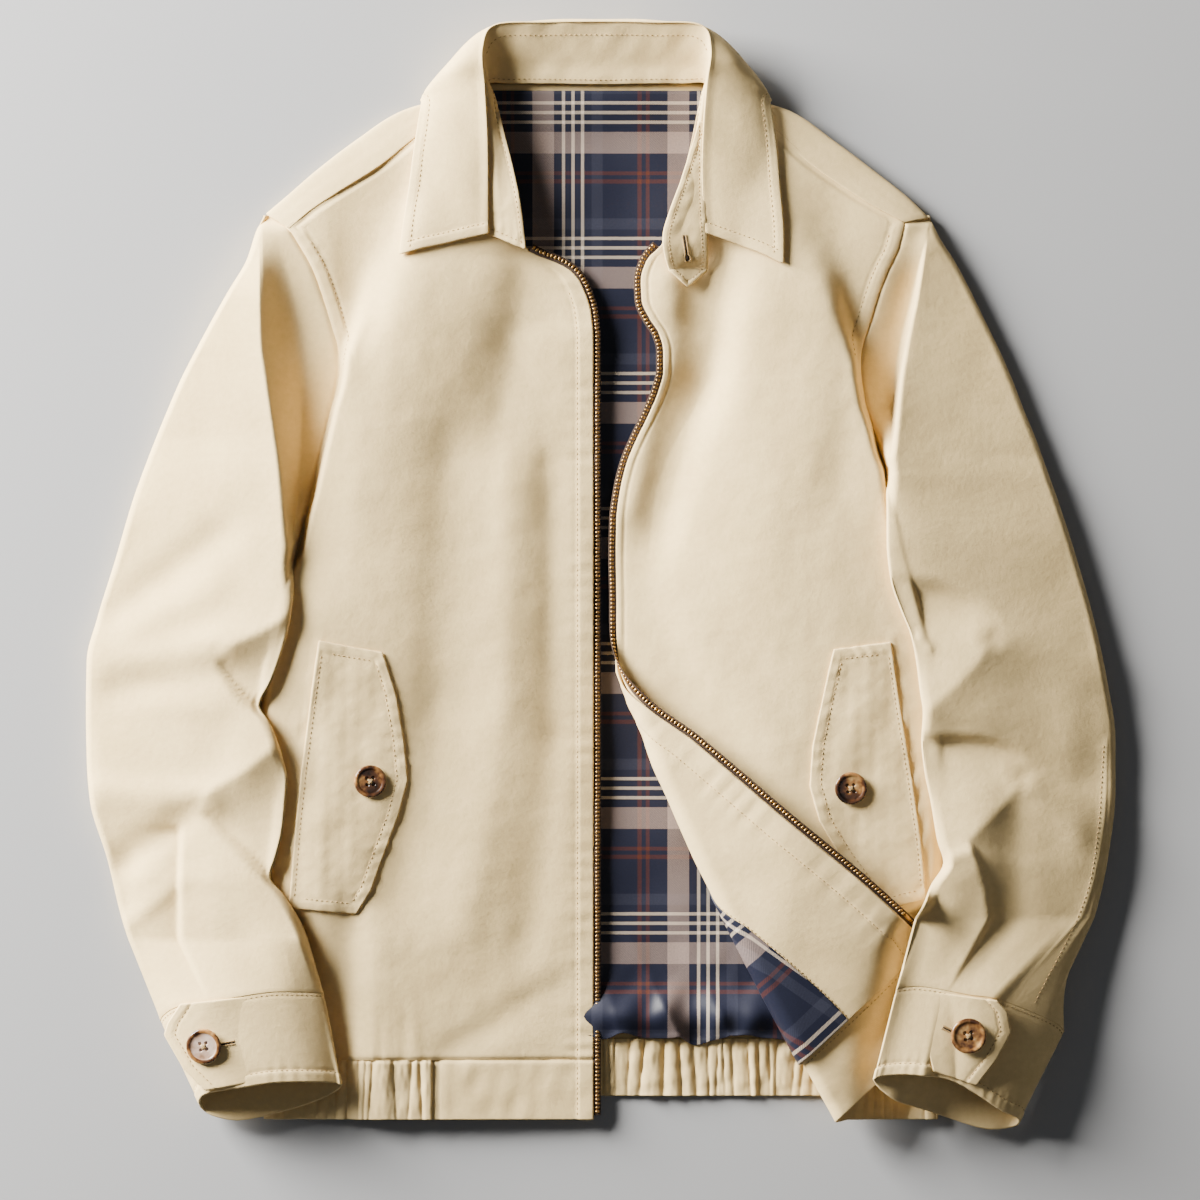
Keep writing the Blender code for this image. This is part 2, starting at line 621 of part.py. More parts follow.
BACK_SEAM_Z = [11.5, 11.5, 11.0, 11.0, 10.5, 10.0, 8.5, 5.6]
SHOULDER_COUNT = 8      # points along each shoulder
NECK_BACK_COUNT = 3     # points between them, along the neck


def across_back(right, left):
    """A whole line across the back, from the lines of its two shoulders."""
    neck = right[-1] + (left[-1] - right[-1]) * np.linspace(0, 1, NECK_BACK_COUNT + 2)[1:-1, None]
    return np.concatenate([right, neck, left[::-1]])


def shoulder_seam(table):
    """Points of a shoulder seam from the shoulder point to the neck, as the fronts have it."""
    y = np.linspace(table[-1][1], table[0][1], SHOULDER_COUNT)
    return np.stack([level(table, y), y, BACK_SEAM_Z], axis=1)


def back():
    """Back panel: flat on the surface, then over the shoulder edges to the shoulder seams."""
    shares = np.linspace(0.0, 1.0, SHOULDER_COUNT)
    floor_line = across_back(*[along([(*point, FLOOR) for point in line], shares)
                               for line in (BACK_FLOOR_RIGHT, BACK_FLOOR_LEFT)])
    edge_line = across_back(*[along([(*p, z) for p, z in zip(line, BACK_EDGE_Z)], shares)
                              for line in (BACK_EDGE_RIGHT, BACK_EDGE_LEFT)])
    seam_line = across_back(shoulder_seam(SHOULDER_RIGHT), shoulder_seam(SHOULDER_LEFT))
    count = len(floor_line)
    share = np.linspace(0.0, 1.0, count)[None, :]
    rows = np.array([y for y in FRONT_ROWS if HEM_BACK_TOP_Y < y < floor_line[0, 1] - 8.0])
    rows = np.concatenate([[HEM_BACK_TOP_Y], rows[::3]])[:, None]
    start, end = (np.where(rows < side[0][1], level(side, rows), level(armhole, rows))
                  for side, armhole in ((SIDE_RIGHT, BACK_ARMHOLE_RIGHT),
                                        (SIDE_LEFT, BACK_ARMHOLE_LEFT)))
    x = start + (end - start) * share
    flat = np.stack([x, np.broadcast_to(rows, x.shape), np.full(x.shape, FLOOR)], axis=-1)
    mid = (edge_line + seam_line) / 2 + (edge_line - floor_line) * (0.0, 0.0, 0.15)
    grid = np.concatenate([flat, [floor_line, edge_line, mid, seam_line]])
    grid = draw_in(grid, left=SEAM, right=SEAM, bottom=SEAM, top=0.5)
    wall("back", grid, SHELL, lift=0.0)


def back_lining():
    """Plaid lining on the back, puffed where it turns up at the hem."""
    y = np.linspace(-301, 315, 10)[:, None]
    x = np.linspace(-110.5, 162.5, 8)[None, :]
    narrow = step_up((y - 180) / (315 - 180))
    x = x * (1.0 - 0.57 * narrow)
    x, y = np.broadcast_arrays(x, y)
    puff = 5.5 * np.exp(-((y - -286.5) / 16.0) ** 2)
    puff = puff * (0.7 + 0.3 * np.cos(x / 11.0)) * step_up((75.0 - np.abs(x - 58.5)) / 30.0)
    neck = 6.2 * step_up((y - 281) / (315 - 281))
    z = FLOOR + (SHELL + LINING) / 2 + GAP + puff + neck
    wall("back_lining", np.stack([x, y, z], axis=-1), LINING, "plaid")


# ---------------------------------------------------------------- sleeves and cuffs

SLEEVE_ROWS_RIGHT = [
    232.5, 225.5, 211, 193, 173.5, 154,
    134.5, 102, 79.5, 56.5, 37,
    11, -11.5, -31, -49.5, -67, -84,
    -99.5, -119, -141.5, -167.5, -194.5, -213, -236,
]
SLEEVE_ROWS_LEFT = [
    231, 225, 211, 193, 173.5, 154,
    138.5, 115, 92.5, 69.5, 47, 24, 1.5,
    -18, -37.5, -55, -72, -88.5,
    -106, -125.5, -145, -166, -185, -203.5, -223,
]
# Columns of a sleeve as shares: armhole seam to crease, crease to outer edge, and underneath.
TO_CREASE = np.array([0.0, 0.5])
FROM_CREASE = np.array([0.0, 0.15, 0.32, 0.5, 0.67, 0.82, 0.93, 0.98, 1.0])
UNDER = np.array([0.05, 0.22, 0.5, 0.8, 1.0])
SLEEVE_SIDES = {
    "right": (SLEEVE_OUT_RIGHT, SLEEVE_IN_RIGHT, ARMHOLE_RIGHT, BACK_ARMHOLE_RIGHT, CREASE_RIGHT),
    "left": (SLEEVE_OUT_LEFT, SLEEVE_IN_LEFT, ARMHOLE_LEFT, BACK_ARMHOLE_LEFT, CREASE_LEFT),
}


def sleeve_top(name, x, y, clear):
    """Height of a sleeve's top layer at (x, y), and of its outermost edge there."""
    out, inner, armhole, _, crease = SLEEVE_SIDES[name]
    inward = FRONTS[name]["inward"]
    underarm = inner[0][1]
    crest = level(SLEEVE_CREST, y) + folds(SLEEVE_FOLDS, x, y)
    from_out = np.clip((x - level(out, y)) * inward / ROUND, 0.0, 1.0)
    round_out = np.sqrt(1.0 - (1.0 - from_out) ** 2)
    z = EDGE_Z + (crest - EDGE_Z) * round_out
    # Above the underarm the cloth falls from the crease into the valley at the armhole seam,
    # where it meets the front.
    from_seam = (level(armhole, y) - x) * inward
    reach = np.maximum((level(armhole, y) - level(crease, y)) * inward + 4.0, 10.0)
    valley = front_height(name, x, y)
    z = np.where(y > underarm, valley + (z - valley) * step_up(from_seam / reach), z)
    # Below it, the inner edge is rounded like the outer one, above what it lies on.
    from_in = np.clip((level(inner, y) - x) * inward / (ROUND * 0.8), 0.0, 1.0)
    round_in = np.sqrt(1.0 - (1.0 - from_in) ** 2)
    rest = clear + 5.0
    z_low = rest + (z - rest) * round_in
    return np.where(y > underarm, z, over(z_low, clear + 4.5, 2.0))


def sleeve(name, levels):
    """A sleeve: rows across its top layer, round the outer edge and back underneath.

    Above the underarm a row runs from the front armhole seam to the back one; from the
    underarm down it closes into a ring.
    """
    out, inner, armhole, back_armhole, crease = SLEEVE_SIDES[name]
    y = np.array(levels)[:, None]
    underarm = inner[0][1]
    high = y > underarm + 0.01
    outer_x = level(out, y)
    start_x = np.where(high, level(armhole, y), level(inner, y))
    start_x = np.where(y > armhole[0][1], level(SHOULDER_END[name], y), start_x)
    end_x = np.where(high, level(back_armhole, y), level(inner, y))
    # Columns follow the crease, which meets the inner edge at the underarm.
    crease_x = np.where(high, level(crease, y), start_x + (outer_x - start_x) * 0.13)
    crease_x = np.where(high, crease_x, start_x + (crease_x - start_x) * step_up(
        (underarm + 8.0 - y) / 50.0))
    top_x = np.concatenate([start_x + (crease_x - start_x) * TO_CREASE,
                            crease_x + (outer_x - crease_x) * FROM_CREASE], axis=1)
    under_x = outer_x + (end_x - outer_x) * UNDER
    top_z = sleeve_top(name, top_x, np.broadcast_to(y, top_x.shape), pile(name, top_x, y))
    clear = pile(name, under_x, y)
    floor = over(np.full(under_x.shape, FLOOR), clear + GAP + SHELL / 2 + UNDER_AIR, 1.0) - 0.5
    floor = np.maximum(floor, FLOOR)
    near_edge = np.clip(np.abs(under_x - outer_x) / 7.0, 0.0, 1.0)
    low = floor + (EDGE_Z - floor) * (1.0 - np.sqrt(1.0 - (1.0 - near_edge) ** 2))
    closing = np.clip(np.abs(under_x - end_x) / 7.0, 0.0, 1.0)
    lift = (top_z[:, :1] - floor) * 0.5 * (1.0 - np.sqrt(1.0 - (1.0 - closing) ** 2))
    low = low + np.where(high, 0.0, lift)
    x = np.concatenate([top_x, under_x], axis=1)
    z = np.concatenate([top_z, low], axis=1)
    grid = np.stack([x, np.broadcast_to(y, x.shape), z], axis=-1)
    seam = cuff_ring(name, "seam", ring_stations(name))
    grid = np.concatenate([grid, [(grid[-1] + seam) / 2, seam]])
    first_ring = int(np.argmax(~high[:, 0]))
    upper = draw_in(grid[:first_ring], left=0.6, right=SEAM)
    grid = np.concatenate([upper, grid[first_ring:]])
    grid[first_ring:, -1] = grid[first_ring:, -1] * 0.5 + grid[first_ring:, -2] * 0.5
    grid = draw_in(grid, top=1.0, bottom=SEAM)
    wall("sleeve_" + name, grid, SHELL, ring_from=first_ring, lift=0.0)


SHOULDER_END = {
    "right": [(-202, 227), (-208.5, 232), (-216, 236.5)],
    "left": [(198, 231), (205, 232), (212, 234)],
}

# Cuffs: closed outlines at the seam, in the middle and at the open end, from the inner edge
# over the top to the outer edge and back underneath: (x, y), height above what lies below.
CUFF_RIGHT = {
    #        inner      top                                    outer      underneath
    "seam": [
        (-180, -270), (-195, -268.5), (-214.5, -268.5), (-244, -273), (-271.5, -277.5),
        (-283, -284), (-284.5, -289,
    ),
             (-273, -286.5), (-247, -283), (-214.5, -279), (-187, -275)],
    "open": [
        (-168.5, -329), (-185, -326.5), (-211, -326.5), (-234, -330), (-253.5, -333.5),
        (-259.5, -338.5), (-258.5, -344.5,
    ),
             (-252, -349.5), (-234, -352.5), (-205, -346.5), (-179, -337.5)],
    "z_seam": [19.0, 27.0, 31.0, 32.0, 27.0, 17.0, 9.0, 0.0, 0.0, 0.0, 4.0],
    "z_open": [15.0, 26.0, 31.0, 31.0, 27.0, 20.0, 12.0, 5.0, 2.0, 2.0, 6.0],
}
CUFF_LEFT = {
    "seam": [
        (192, -267), (205, -264.5), (221, -266.5), (239, -270), (256, -272.5), (279.5, -281.5),
        (297.5, -290.5,
    ),
             (300.5, -297), (283, -294.5), (250, -286.5), (214.5, -277.5)],
    "open": [
        (177.5, -324.5), (192, -321), (211, -322), (227.5, -325), (244, -334), (260, -345),
        (271.5, -351,
    ),
             (268.5, -357), (250, -358), (221, -349), (192, -338.5)],
    "z_seam": [19.0, 28.0, 31.0, 32.0, 31.0, 24.0, 15.0, 5.0, 4.0, 13.0, 6.0],
    "z_open": [15.0, 26.0, 31.0, 32.0, 30.0, 25.0, 17.0, 8.0, 2.0, 2.0, 6.0],
}
CUFFS = {"right": CUFF_RIGHT, "left": CUFF_LEFT}
TAB_THICK = 1.6
TAB_AIR = 0.45          # more than GAP, because tab and cuff bend differently
TAB_BALL = 45.0         # a tab bridges the hollows of its cuff as a ball of this radius would
CUFF_SEAM_GAP = {"right": 0.3, "left": 2.0}
CUFF_TABS = {           # plan of the pointed end and of the inner end
    "right": (
        [(-271, -277), (-279, -289), (-281.5, -296.5), (-269, -318), (-255, -331.5)],
        [(-222.5, -271.5), (-223.5, -283), (-225, -297.5), (-222.5, -314), (-219.5, -325)],
    ),
    "left": (
        [(256, -274.5), (262.5, -281.5), (265, -294.5), (255, -312.5), (243, -328)],
        [(213, -268.5), (212.5, -280), (212, -294.5), (213, -307.5), (216, -319)],
    ),
}


def ring_stations(name):
    """Stations of a cuff's outline that the sleeve's columns meet."""
    half = len(CUFFS[name]["seam"]) / 2
    top = np.linspace(0.0, half, len(TO_CREASE) + len(FROM_CREASE))
    return np.concatenate([top, half + half * UNDER * 0.985])


def cuff_ring(name, key, stations):
    """Points of a cuff's closed outline; a station counts in the outline's table points."""
    table = CUFFS[name]
    points = [(*plan, z) for plan, z in zip(table[key], table["z_" + key])]
    wrapped = np.array(points[-2:] + points + points[:3], float)
    ring = by_station(wrapped, np.asarray(stations) + 2.0)
    floor = np.maximum(pile(name, ring[:, 0], ring[:, 1]) + GAP + SHELL / 2 + UNDER_AIR, FLOOR)
    half = len(points) / 2
    top = np.clip(np.asarray(stations) / half, 0.0, 1.0)
    to_inner = np.maximum(0.0, 1.0 - (2 * half - np.asarray(stations)) / 0.9)
    open_up = np.where(top < 1.0, 5.5 + 3.0 * np.sin(math.pi * top), 1.5 * to_inner)
    ring[:, 2] = over(ring[:, 2], floor + open_up, 1.0)
    return ring


def cuff_grid(name, stations, shares):
    """Middle points of a cuff band, from its seam outline to its open end."""
    seam, opening = (cuff_ring(name, key, stations) for key in ("seam", "open"))
    return np.stack([seam + (opening - seam) * share for share in shares])


def cuff(name):
    """An open cuff band between its seam outline and its open end."""
    grid = cuff_grid(name, ring_stations(name), (0.0, 0.35, 0.7, 1.0))
    grid = draw_in(grid, bottom=CUFF_SEAM_GAP[name])
    wall("cuff_" + name, grid, SHELL, ring=True, lift=0.0)


def tab_height(name, x, y):
    """Height of the middle of a cuff's tab: a ball of radius TAB_BALL rolled over the cuff."""
    half = len(CUFFS[name]["seam"]) / 2
    below = cuff_grid(name, np.linspace(0.0, half, 60), np.linspace(0.0, 1.0, 20)).reshape(-1, 3)
    away = (x[..., None] - below[:, 0]) ** 2 + (y[..., None] - below[:, 1]) ** 2
    rolled = np.max(below[:, 2] - away / (2.0 * TAB_BALL), axis=-1)
    return rolled + SHELL / 2 + TAB_AIR + TAB_THICK / 2


def cuff_tab(name):
    """The pointed end of a cuff, lapped over it; the button sits near its point."""
    outer, inner = (along(rail, np.linspace(0, 1, 9)) for rail in CUFF_TABS[name])
    share = np.linspace(0.0, 1.0, 5)[None, :, None]
    plan = outer[:, None] + (inner - outer)[:, None] * share
    z = tab_height(name, plan[..., 0], plan[..., 1])
    wall("cuff_tab_" + name, np.concatenate([plan, z[..., None]], axis=-1), TAB_THICK)


# ---------------------------------------------------------------- collar

# Stations along the neckline from the right front end round the back to the left front end:
# the neckline seam (n), the fold (f), and four points across the leaf to its edge (e).
COLLAR = [
    # n, z, f, z, a, z, b, z, c, z, e, z
    ((-48, 213), 15.0, (-73, 223.5), 20.0, (-87, 220.5), 19.0, (-101.5, 217), 17.0, (-115.5, 214),
     15.0, (-129.5, 210), 14.0),
    ((-51.5, 242), 14.0, (-73, 245), 22.0, (-86.5, 242), 21.0, (-100, 238), 19.0, (-114, 234),
     17.0, (-127, 229.5), 15.0),
    ((-57, 268), 13.0, (-73, 268), 23.0, (-86, 264), 22.0, (-99, 260), 20.0, (-112, 256), 17.0,
     (-123.5, 252), 15.0),
    ((-63, 290.5), 12.0, (-73.5, 292), 25.0, (-86, 288.5), 23.0, (-98, 285.5), 21.0,
     (-110.5, 282), 18.0, (-120, 279), 14.0),
    ((-68, 311.5), 10.5, (-75, 319), 26.0, (-86, 315), 24.0, (-97.5, 312), 21.0, (-108, 309.5),
     17.0, (-115.5, 307), 12.0),
    ((-72, 320.5), 9.0, (-76, 342.5), 27.0, (-88.5, 336), 24.0, (-99.5, 328), 19.0, (-112, 318),
     12.0, (-114, 309.5), 5.5),
    ((-57, 320.5), 6.8, (-68, 357.5), 25.0, (-77.5, 353), 18.0, (-87, 342.5), 10.5, (-96, 325.5),
     3.4, (-92.5, 308), 0.9),
    ((-36, 320.5), 6.6, (-36, 359.5), 23.0, (-36, 361), 14.0, (-36, 355.5), 5.0, (-36, 336), 0.7,
     (-36, 311.5), 0.6),
    ((0, 320), 6.6, (0, 360), 23.0, (0, 361.5), 14.0, (0, 356), 5.0, (0, 336), 0.7, (0, 311.5),
     0.6),
    ((34, 320.5), 6.6, (34, 359.5), 23.0, (34, 361), 14.0, (34, 355.5), 5.0, (34, 336), 0.7,
     (34, 311.5), 0.6),
    ((54, 320.5), 6.8, (65, 357.5), 25.0, (74, 353), 18.0, (84, 342.5), 10.5, (92.5, 325.5), 3.4,
     (88.5, 308), 0.9),
    ((68, 320.5), 9.0, (72, 342.5), 27.0, (85, 336), 24.0, (95.5, 328), 19.0, (107, 318), 12.0,
     (109, 309.5), 5.5),
    ((65.5, 311.5), 10.5, (69.5, 319), 26.0, (82, 315), 24.0, (93, 312), 21.0, (102.5, 310), 17.0,
     (110, 307.5), 12.0),
    ((60, 284), 12.0, (67.5, 294), 25.0, (80.5, 290), 23.0, (93, 286), 21.0, (104.5, 283), 18.0,
     (114, 279.5), 14.0),
    ((53.5, 258), 13.0, (66.5, 268), 23.0, (79.5, 263), 22.0, (92.5, 258.5), 20.0, (105.5, 254),
     17.0, (116.5, 250), 15.0),
    ((47, 237), 14.0, (67, 245), 22.0, (80.5, 240.5), 21.0, (94, 236), 19.0, (107, 231), 17.0,
     (118.5, 226), 15.0),
    ((41, 217), 15.0, (69, 224), 20.0, (82, 219.5), 19.0, (94, 215), 17.0, (106.5, 210), 15.0,
     (118.5, 204), 14.0),
]


def collar_rails(count):
    """The six lines along the collar, each with `count` points: seam, fold, three and edge."""
    rails = []
    for rail in range(6):
        points = [(*station[2 * rail], station[2 * rail + 1]) for station in COLLAR]
        shares = np.linspace(0.0, len(points) - 1.0, count)
        rails.append(by_station(points, shares))
    return rails


def by_station(points, shares):
    """Points of a smooth line through the stations; a share counts in stations."""
    points = np.asarray(points, float)
    slope = np.gradient(points, axis=0)
    k = np.clip(shares.astype(int), 0, len(points) - 2)
    t = (shares - k)[:, None]
    return (
        points[k] * (1 + 2 * t) * (1 - t) ** 2 + slope[k] * t * (1 - t) ** 2
        + points[k + 1] * t * t * (3 - 2 * t) - slope[k + 1] * t * t * (1 - t)
    )


def fronts_below(x, y):
    """Height of the top face of whichever front lies under (x, y)."""
    right = front_height("right", x, y)
    left = front_height("left", x, y)
    return np.where(x < -2, right, left) + SHELL / 2


def lay_over_fronts(grid, air):
    """Heights of a collar grid, raised where it would cut into the fronts it lies on."""
    x, y, z = grid[..., 0], grid[..., 1], grid[..., 2]
    floor = fronts_below(x, y) + GAP + SHELL / 2 + air
    share = step_up((310 - y) / 10.0)
    return z + (over(z, floor, 1.5) - z) * share


def collar_leaf():
    """Leaf of the collar with its two wings, which lie on the fronts."""
    _, *leaf = collar_rails(29)
    grid = np.stack(leaf)
    grid[0, :, 2] += 0.7
    grid[..., 2] = lay_over_fronts(grid, 0.6)
    wall("collar_leaf", draw_in(grid, bottom=SEAM), SHELL, lift=0.0)


def collar_stand():
    """Stand of the collar, from the neckline seam up to the fold."""
    seam, fold = collar_rails(29)[:2]
    grid = np.stack([seam + (fold - seam) * share for share in (0.0, 0.5, 1.0)])
    grid[:2, :, 2] += 1.2
    grid[:2, :, 2] = lay_over_fronts(grid[:2], 0.4)
    wall("collar_stand", draw_in(grid, bottom=0.9, top=1.6), SHELL)


# ---------------------------------------------------------------- small pieces on the fronts

def laid_patch(name, side, rails, counts, air, thickness):
    """A flat piece lying on a front: points between two rails, moved out from the front."""
    first, second = (along(np.array(rail, float), np.linspace(0, 1, counts[0])) for rail in rails)
    share = np.linspace(0.0, 1.0, counts[1])[None, :, None]
    plan = first[:, None] + (second - first)[:, None] * share
    z = front_crown(side, plan[..., 0], plan[..., 1]) + SHELL / 2 + air + thickness / 2
    wall(name, np.concatenate([plan, z[..., None]], axis=-1), thickness)


FLAP_THICK = 2.0
FLAP_AIR = 0.9          # a little more than GAP, because flap and front bend differently
FLAP_RIGHT = (
    [(-181.5, -42), (-187, -80), (-193, -125.5), (-197, -164.5), (-201, -214)],
    [(-141.5, -49.5), (-133, -76.5), (-128, -106), (-125.5, -132), (-131.5, -154.5),
     (-140, -177.5), (-149.5, -203.5), (-158.5, -218)],
)
FLAP_LEFT = (
    [(152, -47.5), (146, -73.5), (138.5, -109), (136.5, -135), (143, -158), (154.5, -177.5),
     (169, -197), (184.5, -215)],
    [(188, -43), (194.5, -86.5), (202, -132), (207.5, -171), (211, -208.5)],
)
TAB = (
    [(68, 219), (69, 210.5), (69, 201.5), (57, 190.5)],
    [(41.5, 212), (43.5, 206), (45, 201), (56, 190.5)],
)

BUTTON_PROFILE = [  # (radius as a share of the button's, height)
    (0.0, 0.0), (0.80, 0.0), (1.0, 1.2), (1.0, 2.1), (0.86, 2.8), (0.74, 2.4),
    (0.62, 1.9), (0.0, 1.9),
]
BUTTON_SEGMENTS = 12
BUTTON_HOLE = 1.1       # radius
BUTTON_HOLE_OUT = 2.0   # from the button's centre, along each axis


def button(name, x, y, z, tilt, diameter):
    """Four-hole button: a turned disc with a raised rim, its underside at height z."""
    angles = np.arange(BUTTON_SEGMENTS) * 2 * math.pi / BUTTON_SEGMENTS
    profile = [(share * diameter / 2, height) for share, height in BUTTON_PROFILE[1:-1]]
    points = [(0.0, 0.0, BUTTON_PROFILE[0][1])]
    for radius, height in profile:
        points += [(radius * math.cos(a), radius * math.sin(a), height) for a in angles]
    points.append((0.0, 0.0, BUTTON_PROFILE[-1][1]))
    last = len(points) - 1
    faces = []
    for k in range(BUTTON_SEGMENTS):
        after = (k + 1) % BUTTON_SEGMENTS
        faces.append((0, 1 + after, 1 + k))
        for ring in range(len(profile) - 1):
            low, high = 1 + ring * BUTTON_SEGMENTS, 1 + (ring + 1) * BUTTON_SEGMENTS
            faces.append((low + k, low + after, high + after, high + k))
        top = 1 + (len(profile) - 1) * BUTTON_SEGMENTS
        faces.append((top + k, top + after, last))
    solid = place(name, points, faces, "horn")
    cutters = []
    for side_x in (-1, 1):
        for side_y in (-1, 1):
            ring = [(BUTTON_HOLE_OUT * side_x + BUTTON_HOLE * math.cos(a),
                     BUTTON_HOLE_OUT * side_y + BUTTON_HOLE * math.sin(a)) for a in angles[::2]]
            count = len(ring)
            hole = [(*p, -2.0) for p in ring] + [(*p, 5.0) for p in ring]
            sides = [(i, (i + 1) % count, (i + 1) % count + count, i + count)
                     for i in range(count)]
            sides += [tuple(range(count))[::-1], tuple(range(count, 2 * count))]
            cutter = place("cutter", hole, sides, "horn")
            cut = solid.modifiers.new("hole", "BOOLEAN")
            cut.object, cut.operation, cut.solver = cutter, "DIFFERENCE", "EXACT"
            cutters.append(cutter)
    graph = bpy.context.evaluated_depsgraph_get()
    shape = bpy.data.meshes.new_from_object(solid.evaluated_get(graph))
    solid.modifiers.clear()
    solid.data = shape
    for cutter in cutters:
        bpy.data.objects.remove(cutter)
    solid.location = (x * MM, y * MM, z * MM)
    solid.rotation_euler = tilt
    return solid


POCKET_BUTTONS = {"right": (-149, -132.5), "left": (162.5, -137)}
CUFF_BUTTONS = {"right": (-256, -303.5), "left": (238, -296.5)}


def slope_of(height, x, y, reach):
    """Slopes along X and Y of a height function, over `reach` mm each way."""
    across = height(x + reach, y) - height(x - reach, y)
    upward = height(x, y + reach) - height(x, y - reach)
    return float(across) / (2 * reach), float(upward) / (2 * reach)


def place_buttons(side):
    """The pocket button and the cuff button of one side, each on the slope of what carries it."""
    def flap(x, y):
        return front_height(side, x, y) + SHELL / 2 + FLAP_AIR + FLAP_THICK

    def tab(x, y):
        return tab_height(side, np.array(x), np.array(y)) + TAB_THICK / 2

    for name, height, (x, y), turn, diameter in (
            ("button_pocket_", flap, POCKET_BUTTONS[side], 0.4, 20.0),
            ("button_cuff_", tab, CUFF_BUTTONS[side], 0.15, 22.5)):
        across, upward = slope_of(height, x, y, 8.0)
        tilt = (math.atan(upward), -math.atan(across), turn)
        button(name + side, x, y, float(height(x, y)) + 0.5, tilt, diameter)


ZIP_ROWS = [y for y in FRONT_ROWS if y < 205]
TAPE_FROM_TO, TAPE_THICK = (0.8, 2.6), 0.8      # outside the zip edge
TEETH_FROM_TO, TEETH_THICK = (3.4, 6.6), 1.8


def zip_strip(name, side, distances, thickness, finish):
    """A strip along a zip edge, between two distances outside it."""
    y = np.array(ZIP_ROWS)[:, None]
    edge = level(FRONTS[side]["zip"], y)
    inward = FRONTS[side]["inward"]
    slope = (level(FRONTS[side]["zip"], y + 1) - level(FRONTS[side]["zip"], y - 1)) / 2
    size = np.sqrt(1 + slope ** 2)
    away = np.array(distances)[None, :] * inward
    x = edge + away / size
    y = y - away * slope / size
    if side == "left":
        grid = turn_back(x, y, -0.2)
    else:
        z = front_height("right", np.broadcast_to(edge, x.shape), y) + 0.2
        grid = np.stack([x, y, z], axis=-1)
    wall(name, grid, thickness, finish)




def main():
    """Build every piece."""
    for thing in list(bpy.data.objects):
        bpy.data.objects.remove(thing)
    back()
    back_lining()
    hem_band_back()
    front_right()
    hem_band_right()
    front_left()
    facing_left()
    lining_left()
    hem_band_left()
    sleeve("right", SLEEVE_ROWS_RIGHT)
    sleeve("left", SLEEVE_ROWS_LEFT)
    collar_stand()
    collar_leaf()
    laid_patch("throat_tab", "left", TAB, (7, 4), 0.7, 1.6)
    laid_patch("pocket_flap_right", "right", FLAP_RIGHT, (10, 6), FLAP_AIR, FLAP_THICK)
    laid_patch("pocket_flap_left", "left", FLAP_LEFT, (10, 6), FLAP_AIR, FLAP_THICK)
    for side in ("right", "left"):
        cuff(side)
        cuff_tab(side)
        place_buttons(side)
        zip_strip("zip_tape_" + side, side, TAPE_FROM_TO, TAPE_THICK, "tape")
        zip_strip("zip_teeth_" + side, side, TEETH_FROM_TO, TEETH_THICK, "brass")


main()
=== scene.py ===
"""Harrington jacket laid open on a pale floor: its finished cloth, sewing, zip and buttons.

Lengths are in millimetres until `place` puts them into metres. X runs to the viewer's right,
Y towards the collar, Z up; "right" and "left" are the wearer's. Every cloth piece is a grid
of points over two parameters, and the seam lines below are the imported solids' own.
"""

import math

import bpy
import numpy as np
from mathutils import Euler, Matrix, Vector


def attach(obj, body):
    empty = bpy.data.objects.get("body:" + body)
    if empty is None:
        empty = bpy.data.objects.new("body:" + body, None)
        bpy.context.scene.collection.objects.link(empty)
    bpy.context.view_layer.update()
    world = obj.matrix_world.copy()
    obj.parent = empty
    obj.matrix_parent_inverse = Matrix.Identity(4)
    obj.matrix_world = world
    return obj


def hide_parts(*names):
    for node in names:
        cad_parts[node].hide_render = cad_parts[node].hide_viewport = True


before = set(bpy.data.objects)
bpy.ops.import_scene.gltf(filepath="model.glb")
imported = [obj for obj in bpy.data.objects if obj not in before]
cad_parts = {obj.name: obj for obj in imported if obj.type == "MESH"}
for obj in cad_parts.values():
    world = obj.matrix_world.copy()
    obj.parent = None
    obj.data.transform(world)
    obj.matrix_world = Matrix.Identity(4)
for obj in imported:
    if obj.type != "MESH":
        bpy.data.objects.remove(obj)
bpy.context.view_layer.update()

MM = 0.001
SHELL = 1.2          # thickness of the twill
LINING = 1.0         # thickness of the facing and the lining
GAP = 0.3            # air between two layers
SEAM = 0.3           # drawn in at each side of a seam
FLOOR = SHELL / 2    # middle of a shell layer that lies on the surface


# ---------------------------------------------------------------- seam lines (x, y)

SHOULDER_RIGHT = [
    (-72, 320.5), (-97.5, 302), (-123, 284), (-143, 268), (-169, 251.5), (-188.5, 238.5),
    (-202, 227),
]
ARMHOLE_RIGHT = [
    (-202, 227), (-195, 216), (-186.5, 201), (-180, 183.5), (-174, 164), (-169.5, 147.5),
    (-168.5, 136), (-170.5, 123), (-175.5, 105.5), (-182, 79.5), (-187, 56.5), (-193.5, 34),
    (-199.5, 11),
]
SIDE_RIGHT = [
    (-199.5, 11), (-210, -21.5), (-218.5, -54), (-224, -112.5), (-225, -177.5), (-223.5, -249),
    (-219.5, -314), (-217, -353),
]
NECK_RIGHT = [(-71, 319), (-67.5, 311.5), (-63, 290.5), (-57, 268), (-51.5, 242), (-47.5, 212.5)]
ZIP_RIGHT = [
    (-47.5, 212.5), (-39, 208), (-26, 203), (-17, 196.5), (-11, 186.5), (-6.5, 172), (-5, 154),
    (-5, -80), (-5, -314), (-5, -353.5),
]
SHOULDER_LEFT = [
    (68, 320.5), (91, 305.5), (114, 289), (130, 274.5), (149.5, 260), (175.5, 243), (198, 231),
]
ARMHOLE_LEFT = [
    (198, 231), (193.5, 214), (186.5, 199.5), (180.5, 183.5), (175.5, 167), (170.5, 151),
    (169, 140), (172, 115), (180.5, 89), (186.5, 69.5),
]
